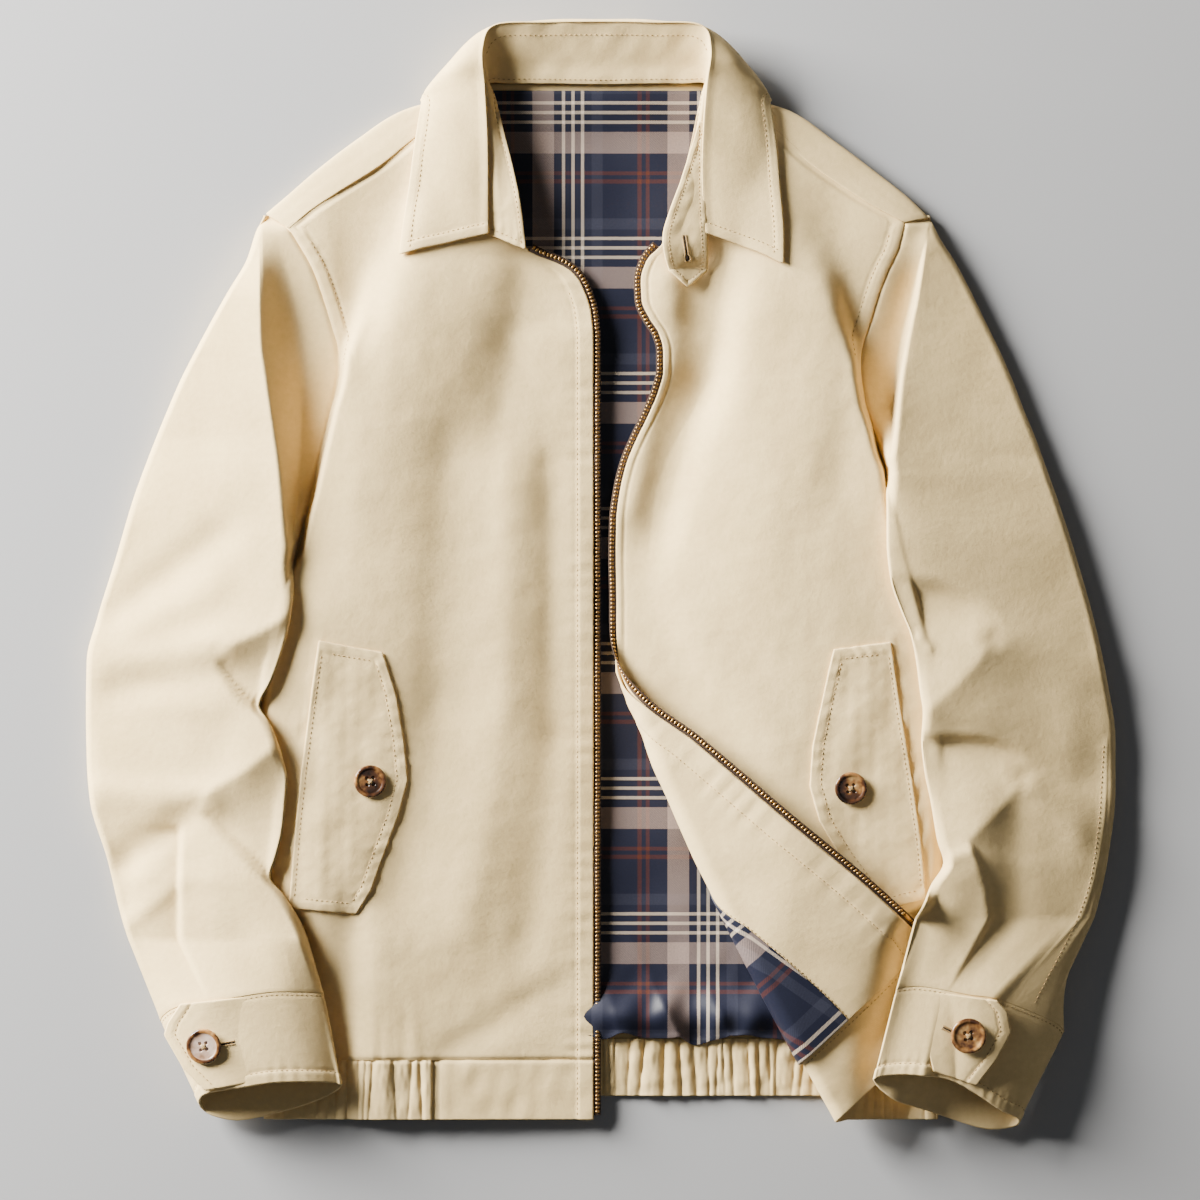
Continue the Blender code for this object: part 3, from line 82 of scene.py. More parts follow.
SIDE_LEFT = [
    (186.5, 69.5), (195, 24), (209.5, -28), (221, -80), (225.5, -145), (225, -210), (221, -314),
    (219.5, -353),
]
NECK_LEFT = [(67, 319), (66.5, 311.5), (60, 284), (53.5, 258), (47, 238.5), (41, 217)]
ZIP_LEFT = [
    (41, 217), (31, 205), (27.5, 193), (28, 180), (33, 168.5), (39, 159), (42, 147.5), (42, 134.5),
    (39, 121.5), (32.5, 105.5), (24.5, 89), (18, 73), (13.5, 53.5), (11.5, 37), (11, 11),
    (11.5, -15), (11.5, -41), (11.5, -67), (10, -93), (6, -112.5), (2.5, -132), (0.5, -174),
    (2, -205.5), (4, -249), (8.5, -289), (14.5, -315), (34.5, -356),
]
FOLD_LEFT = [
    (-11.5, 11), (4.5, -21.5), (15.5, -47.5), (24.5, -70), (33.5, -93), (41, -112.5), (49, -132),
    (67.5, -174), (83, -205.5), (105, -249), (126, -289), (140, -315), (162.5, -356),
    (171.5, -373),
]
SWING_LEFT = [          # how far the turned-back cloth swings round, in radians, down the fold
    (0.0, -132), (0.05, -174), (0.10, -205.5), (0.15, -249), (0.20, -289), (0.245, -315),
    (0.26, -356),
]
TURNED_EDGES = [        # the turned corner lies on the right of these lines
    ((26, -73.5), (218.5, -238.5)), ((234, -281), (153.5, -356)),
]
FRONT_TOP_Y = 316
GATHER_HIGH = 2.2       # how far a gathered band stands up
HEM_SEAM_Y = -314
HEM_Y = -352.5
HEM_BACK_TOP_Y = -304
HEM_BACK_Y = -337.5
BACK_ARMHOLE_RIGHT = [
    (-199.5, 11), (-193, 37), (-187, 63), (-183.5, 95.5), (-182, 128), (-184.5, 160.5),
    (-192, 190), (-201.5, 216), (-212.5, 233.5),
]
BACK_ARMHOLE_LEFT = [
    (186.5, 69.5), (180.5, 89), (175.5, 115), (174, 141), (177, 167), (183.5, 193), (193, 216),
    (204, 229.5), (210, 233.5),
]
SLEEVE_OUT_RIGHT = [
    (-217, 237), (-223, 225.5), (-229.5, 206), (-241, 186.5), (-252, 167), (-262.5, 147.5),
    (-272.5, 128), (-281, 108.5), (-289, 89), (-296.5, 69.5), (-303.5, 50), (-315, 11),
    (-327, -28), (-333.5, -54), (-334, -86.5), (-333.5, -119), (-331.5, -145), (-320, -184),
    (-310.5, -223), (-299, -255.5), (-287.5, -280),
]
SLEEVE_IN_RIGHT = [
    (-199.5, 11), (-199, -8.5), (-201, -28), (-206, -47.5), (-213, -67), (-221, -84),
    (-214.5, -94), (-209.5, -106), (-205.5, -119), (-203, -130.5), (-204, -145), (-206, -164.5),
    (-210, -180.5), (-214, -194.5), (-205, -206.5), (-195, -223), (-188.5, -239), (-183.5, -255.5),
    (-180.5, -268.5),
]
SLEEVE_OUT_LEFT = [
    (214, 234), (221.5, 219), (230, 206), (240.5, 186.5), (250, 167), (259.5, 147.5), (268, 128),
    (275.5, 108.5), (283.5, 89), (290.5, 69.5), (297.5, 50), (310, 11), (321, -28), (329.5, -67),
    (335, -106), (335, -138.5), (330, -184), (321, -223), (307.5, -262), (299, -281.5),
]
SLEEVE_IN_LEFT = [
    (186.5, 69.5), (186, 50), (186, 24), (188.5, -2), (195, -21.5), (201.5, -37.5), (205, -54),
    (207.5, -73.5), (209.5, -88.5), (208.5, -106), (210.5, -125.5), (214.5, -145), (219, -171),
    (223, -185), (214.5, -200), (205, -219.5), (198, -232.5), (195, -245.5), (192.5, -265),
]
BULGE_RIGHT = [
    (-104, 320.5), (-120, 271), (-131.5, 238.5), (-140.5, 216), (-149.5, 193), (-157.5, 167),
    (-164, 147.5), (-168.5, 128), (-173, 105.5), (-179, 79.5), (-184, 56.5), (-190, 34),
    (-193.5, 11), (-193.5, -28), (-203, -60.5), (-212, -84), (-201.5, -109), (-195, -132),
    (-197, -164.5), (-201.5, -194.5), (-192, -223), (-177, -265), (-166, -301), (-161, -353.5),
]
BULGE_LEFT = [
    (99, 320.5), (120, 271), (134, 238.5), (144.5, 212.5), (152, 193), (159, 167), (166.5, 140),
    (171.5, 115), (177.5, 89), (182, 69.5), (179.5, 24), (183.5, -15), (193.5, -47.5),
    (201.5, -88.5), (203, -125.5), (209.5, -164.5), (213, -185), (204, -203.5), (192, -232.5),
    (182, -275), (173, -301), (167.5, -353.5),
]
FRONT_LEVELS = {
    #        y            low   high  soft
    "neck":       (320.5, 9.0, 10.5, 20.0),
    "collar":     (264.5, 11.0, 15.0, 20.0),
    "shoulder":   (227, 11.0, 17.5, 14.0),
    "chest":      (180, 9.0, 20.5, 6.0),
    "edge":       (150, 7.4, 21.5, 2.4),
    "underarm":   (115, 5.5, 22.5, 1.3),
    "rib":        (11, 3.6, 22.5, 1.4),
    "waist":      (-119, 3.4, 20.5, 4.0),
    "pocket":     (-210, 3.4, 19.5, 4.5),
    "low":        (-275, 4.0, 16.5, 11.0),
    "hem_seam":   (-314, 5.0, 13.5, 10.0),
    "hem":        (-353.5, 5.0, 10.0, 10.0),
}
ZIP_DROP = 0.74         # how much of its rise a front loses at its zip edge
ZIP_DROP_WIDTH = {"right": 158.0, "left": 122.0}
UNDER_SLEEVE = {"right": 15.0, "left": 24.0}    # how far past BULGE a front stays high
ROLL = 7.0             # radius of the shell at the fold
FACING_UNDER = 1.35 + (SHELL + LINING) / 2  # facing's middle below the shell's
FACING_WIDTH = 70.0
FACING_PEEK = [         # how far the facing stands out past the zip edge
    (0.0, 217), (0.0, 180), (4.0, 151), (4.5, 115), (0.5, 89), (-1.5, 50), (-1.5, -353.5),
]
CREASE_RIGHT = [
    (-219.5, 237), (-219, 206), (-218, 154), (-214.5, 128), (-209.5, 95.5), (-205.5, 69.5),
    (-203, 43.5), (-201, 11),
]
CREASE_LEFT = [
    (214.5, 237), (211, 219), (204, 180), (197, 147.5), (193, 121.5), (190, 95.5), (187, 69.5),
]
EDGE_Z = 6.0            # height of a sleeve's outermost line
UNDER_AIR = 2.0         # air between a sleeve or cuff and the body under it
UNDER_MIDDLE = GAP + SHELL / 2 + UNDER_AIR      # its lower layer's middle above that body
SLEEVE_CREST = {        # height of a sleeve's top layer at its ridge, down the sleeve
    "right": [(6.5, 237), (14.0, 219), (24.0, 180), (29.0, 102), (30.0, -15), (30.0, -145),
              (31.0, -223), (34.0, -281.5)],
    "left": [(5.5, 237), (10.0, 219), (15.0, 180), (19.0, 134.5), (25.0, 95.5), (29.5, 63),
             (30.0, -145), (31.0, -223), (34.0, -281.5)],
}
SLEEVE_FALL = 20.0      # how much lower a sleeve's top is near its outer edge than at its ridge
ROUND_OUT, ROUND_IN = 4.0, 6.0
FLAT = {"right": 0.5, "left": 0.9}       # flat share between a sleeve's seam and its crease
DIP = {"right": 0.0, "left": 4.5}       # how far that flat part falls towards the crease
BESIDE = {"right": (0.22, 0.12), "left": (0.0, 0.0)}    # dip of a front beside its bulge edge


def hermite(start, end, leave, arrive, t):
    """Cubic from start to end as t goes from 0 to 1, with its slopes at the two ends."""
    return (start * (1 + 2 * t) * (1 - t) ** 2 + leave * t * (1 - t) ** 2
            + end * t * t * (3 - 2 * t) - arrive * t * t * (1 - t))


def level(table, y):
    """Value at height y of a (value, y) table: cubic pieces that never overshoot a row."""
    value, at = np.array(sorted(table, key=lambda row: row[1]), float).T
    step, slope = np.diff(at), np.zeros(len(at))
    rise = np.diff(value) / step
    same = rise[:-1] * rise[1:] > 0
    slope[1:-1][same] = 2.0 / (1.0 / rise[:-1][same] + 1.0 / rise[1:][same])
    slope[0], slope[-1] = rise[0], rise[-1]
    y = np.clip(np.asarray(y, float), at[0], at[-1])
    k = np.clip(np.searchsorted(at, y, side="right") - 1, 0, len(step) - 1)
    t = (y - at[k]) / step[k]
    return (value[k] * (1 + 2 * t) * (1 - t) ** 2 + slope[k] * step[k] * t * (1 - t) ** 2
            + (value[k + 1] * t * t * (3 - 2 * t) - slope[k + 1] * step[k] * t * t * (1 - t)))


def run_of(points):
    """Distance of each point of a line from the line's start, along it."""
    return np.concatenate([[0.0], np.cumsum(np.linalg.norm(np.diff(points, axis=0), axis=1))])


def along(points, shares):
    """Points at the given shares of a smooth curve through a table of points."""
    points = np.asarray(points, float)
    at = run_of(points)
    at /= at[-1]
    slope = np.gradient(points, at, axis=0)
    k = np.clip(np.searchsorted(at, shares, side="right") - 1, 0, len(at) - 2)
    gap = (at[k + 1] - at[k])[:, None]
    t = (shares - at[k])[:, None] / gap
    return hermite(points[k], points[k + 1], slope[k] * gap, slope[k + 1] * gap, t)


def by_station(stations, shares):
    """Smooth run through stations, each a point or a line; a share counts in stations."""
    stations = np.asarray(stations, float)
    slope = np.gradient(stations, axis=0)
    k = np.clip(shares.astype(int), 0, len(stations) - 2)
    t = (shares - k).reshape(-1, *[1] * (stations.ndim - 1))
    return hermite(stations[k], stations[k + 1], slope[k], slope[k + 1], t)


def step_up(t):
    """Smooth rise from 0 to 1 while t goes from 0 to 1."""
    t = np.clip(t, 0.0, 1.0)
    return t * t * (3 - 2 * t)


def dome(t):
    """Quarter circle: rises from 0 to 1, steeply at first, while t goes from 0 to 1."""
    return np.sqrt(1.0 - (1.0 - np.clip(t, 0.0, 1.0)) ** 2)


def bell(t):
    """Bell curve: 1 at t = 0, falling away on both sides."""
    return np.exp(-t ** 2)


def grid_of(x, y, z):
    """Grid of points from coordinates that may also be rows, columns or numbers."""
    return np.stack(np.broadcast_arrays(x, y, z), axis=-1)


def over(low, high, blend=1.5):
    """The larger of two heights, with a soft corner of `blend` mm that never cuts below it."""
    return (low + high + np.sqrt((low - high) ** 2 + blend ** 2)) / 2


def folds(table, x, y):
    """Sum of soft folds: a bell across each line, fading past its two ends."""
    total = np.zeros(np.broadcast(x, y).shape)
    for x0, y0, x1, y1, high, left, right in table:
        run_x, run_y = x1 - x0, y1 - y0
        length = math.hypot(run_x, run_y)
        share = ((x - x0) * run_x + (y - y0) * run_y) / length ** 2
        side = ((x - x0) * run_y - (y - y0) * run_x) / length
        width = np.where(side > 0, right, left)
        past = np.maximum(np.maximum(-share, share - 1), 0) * length
        total += high * np.exp(-(side / width) ** 2 - (past / (0.7 * (left + right))) ** 2)
    return total


FRONTS = {
    "right": {
        "border": (SHOULDER_RIGHT, ARMHOLE_RIGHT, SIDE_RIGHT),
        "neck": NECK_RIGHT, "zip": ZIP_RIGHT, "bulge": BULGE_RIGHT, "inward": 1.0,
    },
    "left": {
        "border": (SHOULDER_LEFT, ARMHOLE_LEFT, SIDE_LEFT),
        "neck": NECK_LEFT, "zip": ZIP_LEFT, "bulge": BULGE_LEFT, "inward": -1.0,
    },
}


def side_line(front, y):
    """x of a front's outer border at height y: side seam, armhole seam or shoulder seam."""
    shoulder, armhole, side = front["border"]
    y = np.asarray(y, float)
    x = np.where(y > armhole[0][1], level(shoulder, y), level(armhole, y))
    return np.where(y < side[0][1], level(side, y), x)


def front_edge(front, y):
    """x of a front's inner border at height y: the zip edge, or above it the neckline."""
    y = np.asarray(y, float)
    return np.where(y > front["zip"][0][1], level(front["neck"], y), level(front["zip"], y))


def fold_at(y):
    """x of the left front's fold at height y, and how far the fold leans there."""
    return level(FOLD_LEFT, y), (level(FOLD_LEFT, y + 2.0) - level(FOLD_LEFT, y - 2.0)) / 4.0


def turn_back(x, y, inner):
    """Place points of the unfolded left front, folded back past FOLD_LEFT.

    `inner` is how far the layer lies below the shell's middle before the fold. A point short
    of the fold line stays in place. Past it, its distance from the line first runs round a
    roll of radius ROLL + inner and then back over the front, above it.
    """
    line, lean = fold_at(y)
    size = np.sqrt(1.0 + lean ** 2)
    past = np.maximum(line - x, 0.0)
    turn = np.arctan(lean) + level(SWING_LEFT, y)
    slip = -past * np.sin(turn)
    past = past * np.cos(turn)
    angle = np.clip(past / ROLL, 0.0, math.pi)
    out = np.maximum(past - math.pi * ROLL, 0.0) - (ROLL + inner) * np.sin(angle)
    new_x = np.where(line > x, line + out * (1.0 / size) + slip * (lean / size), x)
    new_y = np.where(line > x, y + out * (-lean / size) + slip * (1.0 / size), y)
    z = front_height("left", new_x, new_y) + ROLL - (ROLL + inner) * np.cos(angle)
    return grid_of(new_x, new_y, z)


def turned_share(x, y):
    """1 where the turned-back corner lies, 0 away from it, with a soft border outside it."""
    share = 1.0
    for (x0, y0), (x1, y1) in TURNED_EDGES:
        side = ((x - x0) * (y1 - y0) - (y - y0) * (x1 - x0)) / math.hypot(x1 - x0, y1 - y0)
        share = share * step_up((side + 30.0) / 18.0)
    return share


def pile(name, x, y):
    """Height above which a sleeve or cuff may lie: the surface, or the body's top there."""
    front = FRONTS[name]
    z = np.maximum.reduce([front_height(name, x + aside, y) for aside in (-3.5, 0.0, 3.5)])
    z = z + SHELL / 2 + GATHER_HIGH * (y < HEM_SEAM_Y + 4.0)
    if name == "left":
        z = z + (2 * ROLL + FACING_UNDER + LINING / 2 + 1.0) * turned_share(x, y)
    outside = (side_line(front, y) - x) * front["inward"]
    return z * step_up((64.0 - outside) / 34.0)


def front_height(name, x, y):
    """Height of the middle of a front's shell at (x, y), before any corner is turned back."""
    front = FRONTS[name]
    inward = front["inward"]
    low, high, soft = (level([(row[i], row[0]) for row in FRONT_LEVELS.values()], y)
                       for i in (1, 2, 3))
    # It comes up from its border to its bulge, which is further out beside a sleeve.
    beside = step_up((front["border"][2][0][1] + 9.0 - y) / 36.0) * step_up((y + 228.0) / 30.0)
    bulge = level(front["bulge"], y) * inward - UNDER_SLEEVE[name] * beside
    past = x * inward - np.maximum(bulge, side_line(front, y) * inward + 2.2)
    z = low + (high - low) * (0.5 + 0.5 * np.tanh(past / soft))
    upper, lower = BESIDE[name]
    dip = (upper + (lower - upper) * step_up((30.0 - y) / 60.0)) * step_up((y + 320.0) / 40.0)
    z = z - (z - low) * dip * step_up((250 - y) / 60.0) * bell(np.maximum(past, 0.0) / 42.0)
    # Below the neck it sinks towards the zip edge.
    from_zip = np.maximum((level(front["zip"], y) - x) * inward, 0.0)
    sunk = np.maximum(1 - from_zip / ZIP_DROP_WIDTH[name], 0.0) ** 1.3
    z = z - (z - low) * ZIP_DROP * step_up((245 - y) / 40.0) * sunk
    lift = np.clip((z - low) / 8.0 + 0.8 * step_up((y - 150.0) / 40.0), 0.0, 1.0)
    return z + folds(DRAPE, x, y) * lift


# Soft folds of the fronts, and the pressed folds and pockets of the sleeves.
DRAPE = [
    #  x0     y0     x1     y1    high  left  right
    (-129, 180, -161, 70, 3.2, 30.0, 44.0),
    (-162, 50, -162, -41, 1.2, 26.0, 24.0),
    (-44, 205, -57, 122, -5.0, 58.0, 18.0),
    (-65, 148, -90, 89, -2.4, 24.0, 18.0),
    (-96, 70, -103, -73, -3.2, 28.0, 19.0),
    (-107, -93, -127, -197, -2.2, 22.0, 20.0),
    (-58, 57, -61, -73, 1.7, 15.0, 14.0),
    (-62, -93, -86, -223, 1.6, 15.0, 16.0),
    (-32, 70, -29, -99, -2.0, 13.0, 10.0),
    (-31, -119, -46, -236, -1.8, 13.0, 14.0),
    (-185, -47, -183, -197, 3.4, 20.0, 44.0),
    (-26, -265, -94, -305, -1.7, 12.0, 9.0),
    (-143, -242, -140, -307, 1.2, 12.0, 14.0),
    (-161, -220, -166, -307, -2.2, 9.0, 15.0),
    (-181, 235, -168, 151, 1.6, 10.0, 30.0),
    (-133, 236, -148, 183, -4.4, 11.0, 32.0),
    (46, 190, 46, 144, 3.2, 10.0, 15.0),
    (36, 125, 21, 50, 2.8, 9.0, 13.0),
    (78, 187, 69, 131, -7.5, 15.0, 29.0),
    (61, 115, 39, 31, -5.6, 14.0, 23.0),
    (130, -28, 134, -197, 2.6, 40.0, 50.0),
    (110, 167, 88, 11, 1.6, 34.0, 34.0),
    (162, 161, 157, 70, -1.4, 18.0, 14.0),
    (65, -41, 114, -106, 1.1, 14.0, 16.0),
    (31, -15, 58, -73, -1.0, 12.0, 14.0),
    (130, 24, 133, -41, -1.0, 16.0, 16.0),
]
PRESSED = {
    # Line, height, widths left and right of the line, lengths of fading in and out.
    "right": [
        ([(-272.5, -159), (-273.5, -216.5), (-272.5, -275)], -3.4, 0.8, 13.0, 8.0, 0.0),
        ([(-219, 212.5), (-216, 154), (-208.5, 95.5), (-201.5, 37), (-199.5, 11)],
         0.8, 4.0, 8.0, 20.0, 20.0),
    ],
    "left": [
        ([(238, -172), (247.5, -192), (253, -226), (257, -270.5)], 3.0, 1.2, 15.0, 5.0, 0.0),
        ([(204, -37), (210.5, -41), (216, -49)], 1.2, 2.6, 2.6, 2.0, 3.0),
        ([(213, 229), (206, 180), (194.5, 128), (187, 69.5)], 0.8, 8.0, 4.0, 16.0, 16.0),
        ([(330, -102.5), (327, -164.5), (321, -197), (283.5, -279)], 0.7, 1.2, 3.0, 6.0, 0.0),
    ],
}
SOFT = {
    "right": [
        (-250, 24, -312, -23, -3.0, 13.0, 13.0),
        (-256, -10, -325, -41, 1.8, 12.0, 14.0),
        (-250, -44, -318, -57, 3.0, 14.0, 12.0),
        (-252, -62, -312, -73, -1.6, 12.0, 14.0),
        (-263, -143, -322, -140, 3.2, 15.0, 11.0),
        (-270, -157, -307, -185, -3.4, 10.0, 12.0),
        (-308, -185, -311, -213, -1.8, 10.0, 14.0),
        (-309, -227, -278, -202, 1.4, 7.0, 6.0),
        (-203, 196, -196, 157, -1.6, 8.0, 8.0),
        (-239, -93, -250, -125, -0.8, 12.0, 14.0),
        (-237, -197, -228, -242, -0.8, 12.0, 12.0),
    ],
    "left": [
        (260, -41, 312, -59, 1.8, 16.0, 16.0),
        (234, -103, 309, -133, -2.2, 14.0, 12.0),
        (268, -145, 268, -229, -2.0, 12.0, 14.0),
        (280, -140, 309, -164, 2.0, 12.0, 9.0),
        (303, -80, 311, -177, 1.0, 14.0, 14.0),
        (198, 180, 192, 148, -1.2, 8.0, 8.0),
        (228, -203, 221, -249, 1.0, 12.0, 12.0),
    ],
}
POCKETS = {
    # Ridge line and sunk line, both from the vertex; slope of the pocket's floor, width of its
    # sunk rim, height of the ridge and how far that reaches outside.
    "right": [
        ([(-249, -47.5), (-227.5, -39), (-211, -30.5), (-188.5, -15)],
         [(-249, -47.5), (-241, -61), (-231.5, -73.5), (-208, -95.5)], 0.38, 6.0, 3.0, 12.0),
        ([(-261.5, -147.5), (-252, -138.5), (-234, -128), (-198, -99)],
         [(-261.5, -147.5), (-242, -164.5), (-225, -180.5), (-201.5, -206)], 0.33, 6.0, 3.2, 12.0),
    ],
    "left": [
        ([(255, -37.5), (245.5, -54.5), (229, -72), (198, -97.5)],
         [(255, -37.5), (238, -23.5), (218.5, -15), (188.5, -11)], 0.13, 16.0, 2.4, 14.0),
        ([(275, -127), (266, -142.5), (250, -159), (211, -197)],
         [(275, -127), (268, -117), (253.5, -110.5), (214.5, -108.5)], 0.15, 8.0, 2.7, 11.0),
    ],
}


def pockets(table, x, y):
    """Height of the three-sided pockets that an elbow's folds make.

    In polar coordinates round a pocket's vertex, its floor falls evenly from the ridge line
    to the sunk line and comes up again within the rim; outside the ridge the cloth's height
    dies away by a factor e over each `reach`.
    """
    total = np.zeros(np.broadcast(x, y).shape)
    for ridge, sunk, slope, rim, crest, reach in table:
        dx, dy = x - ridge[0][0], y - ridge[0][1]
        away = np.hypot(dx, dy)
        angles = []
        for line in (ridge, sunk):
            step = along(line, np.linspace(0.0, 1.0, 25))[1:] - ridge[0]
            angles.append(np.interp(away, np.hypot(*step.T), np.unwrap(np.arctan2(*step.T[::-1]))))
        wide = (angles[1] - angles[0] + math.pi) % (2 * math.pi) - math.pi
        half = np.abs(wide) / 2
        past = (np.arctan2(dy, dx) - angles[0]) * np.sign(wide)
        inside = away * ((past - half + math.pi) % (2 * math.pi) - math.pi + half)
        floor = 9.0 * np.tanh(slope * np.maximum(inside, 0.0) / 9.0) * step_up(away / 12.0)
        edge = crest * step_up(away / 14.0) * np.exp(np.minimum(inside, 0.0) / reach)
        total += (edge - floor) * (1.0 - step_up((inside - away * np.abs(wide)) / rim))
    return total


# ---------------------------------------------------------------- cloth

def crumple(x, y, size, high, seed):
    """Soft unevenness: the mean of twelve sine waves of about `size` mm in seeded directions."""
    rng = np.random.default_rng(seed)
    total = np.zeros(np.broadcast(x, y).shape)
    for _ in range(12):
        turn, phase = rng.uniform(0, 2 * math.pi, 2)
        wave = size * rng.uniform(0.6, 1.7)
        total += np.sin((x * math.cos(turn) + y * math.sin(turn)) * 2 * math.pi / wave + phase)
    return high * total / math.sqrt(12)


def nearest(line, x, y):
    """Distance of points from a line of points, its sign, and the run along the line there.

    The distance is the least one to any of the line's parts, and the sign is positive on the
    right of somebody who walks along it. The line's own length comes last.
    """
    at, runs = run_of(line), np.diff(line, axis=0)
    best, side, where = (np.full(np.broadcast(x, y).shape, value) for value in (1e9, 0.0, 0.0))
    for (x0, y0), (run_x, run_y), before in zip(line, runs, at):
        dx, dy, length = x - x0, y - y0, math.hypot(run_x, run_y)
        share = np.clip((dx * run_x + dy * run_y) / length ** 2, 0.0, 1.0)
        away = np.hypot(dx - share * run_x, dy - share * run_y)
        near = away < best
        best = np.where(near, away, best)
        side = np.where(near, dx * run_y - dy * run_x, side)
        where = np.where(near, before + share * length, where)
    return best, np.sign(side), where, at[-1]


def creases(table, x, y):
    """Sum of pressed folds along lines of points.

    A fold dies away by a factor e over its width. A row gives the line, the height, the width
    on the left and on the right of the line, and the lengths over which the fold fades in at
    its start and out at its end.
    """
    total = np.zeros(np.broadcast(x, y).shape)
    for line, high, left, right, start, end in table:
        curve = along(line, np.linspace(0.0, 1.0, 8 * len(line) - 7))
        away, side, where, length = nearest(curve, x, y)
        t = away / np.where(side > 0, right, left)
        fade = step_up(where / start) if start else 1.0
        fade = fade * (step_up((length - where) / end) if end else 1.0)
        total += high * fade * np.exp(0.14 - np.sqrt(t * t + 0.02))
    return total


NEAR = np.array([0.0, 0.5, 1.2, 2.2, 3.6, 5.0, 6.0, 6.8, 7.6, 8.6, 10.0, 12.0])


def across(start, end, count):
    """Row positions from start to end: close steps near both ends, `count` even ones between."""
    width = end - start
    near = NEAR * np.minimum(1.0, np.abs(width) / 36.0) * np.sign(width)
    low, high = start + near[..., -1:], end - near[..., -1:]
    middle = low + (high - low) * np.linspace(0, 1, count + 2)[1:-1]
    return np.concatenate([start + near, middle, (end - near)[..., ::-1]], axis=-1)


def run_lengths(grid, side):
    """Distance of each point of a grid from its left, right, bottom or top border line."""
    axis = 1 if side in ("left", "right") else 0
    step = np.linalg.norm(np.diff(grid, axis=axis), axis=2)
    total = np.cumsum(np.insert(step, 0, 0.0, axis=axis), axis=axis)
    return total if side in ("left", "bottom") else np.take(total, [-1], axis=axis) - total


def seam_relief(away, stitch, high=0.55, ditch=0.5):
    """Rise of a sewn edge: doubled cloth up to its stitch line, pinched in there."""
    return (high * step_up((stitch + 0.8 - away) / 1.6) - 0.45 * bell(away - stitch)
            - ditch * bell(away / 0.9))


def pucker(away, along_it, stitch, seed, high=0.35, pitch=7.0):
    """Small waves across a stitch line, strongest on it, of uneven length along it."""
    rng = np.random.default_rng(seed)
    wobble = 0.0
    for _ in range(4):
        wave = pitch * rng.uniform(0.7, 1.9)
        wobble = wobble + np.sin(along_it * 2 * math.pi / wave + rng.uniform(0, 6.3))
    return high * wobble / 2.0 * bell((away - stitch * 0.7) / (stitch * 0.9))


def place(name, points, faces, material, uv=None, replaces=()):
    """Mesh object from points in mm and faces, smooth, riding the jacket's one body."""
    mesh = bpy.data.meshes.new(name)
    mesh.from_pydata((np.asarray(points) * MM).tolist(), [], np.asarray(faces).tolist())
    mesh.polygons.foreach_set("use_smooth", np.ones(len(mesh.polygons), bool))
    if uv is not None:
        layer = mesh.uv_layers.new(name="cloth")
        corner = np.zeros(len(mesh.loops), np.int32)
        mesh.loops.foreach_get("vertex_index", corner)
        layer.data.foreach_set("uv", (uv[corner] * MM).ravel())
    mesh.materials.append(material)
    piece = bpy.data.objects.new(name + "_fine", mesh)
    bpy.context.scene.collection.objects.link(piece)
    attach(piece, "root")
    if replaces:
        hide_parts(*replaces)
    return piece


def round_faces(rings, around):
    """Triangles of a round body: rings of points, one after another, then its two ends."""
    index = np.arange(rings * around).reshape(rings, around)
    after = np.roll(index, -1, axis=1)
    low, next_low, next_high, high = (part.ravel() for part in (
        index[:-1], after[:-1], after[1:], index[1:]))
    foot = np.full(around, rings * around)
    return np.concatenate([np.stack(corners, axis=-1) for corners in (
        (low, next_low, next_high), (low, next_high, high), (after[0], index[0], foot),
        (index[-1], after[-1], foot + 1))])


def place_bodies(name, bodies, faces, material, replaces=()):
    """One object of many alike bodies: the points of each in a row, and the faces of one."""
    count, size = bodies.shape[:2]
    faces = (faces + np.arange(count)[:, None, None] * size).reshape(-1, 3)
    place(name, bodies.reshape(-1, 3), faces, material, replaces=replaces)


def unit(vectors):
    """Vectors divided by their lengths."""
    return vectors / np.maximum(np.linalg.norm(vectors, axis=1, keepdims=True), 1e-9)


def sum_at(numbers, vectors, count):
    """Sum of the vectors that belong to each of `count` points, by the points' numbers."""
    return np.stack([np.bincount(numbers, part, count) for part in vectors.T], axis=1)


RIM = np.radians([35.0, 90.0, 145.0])


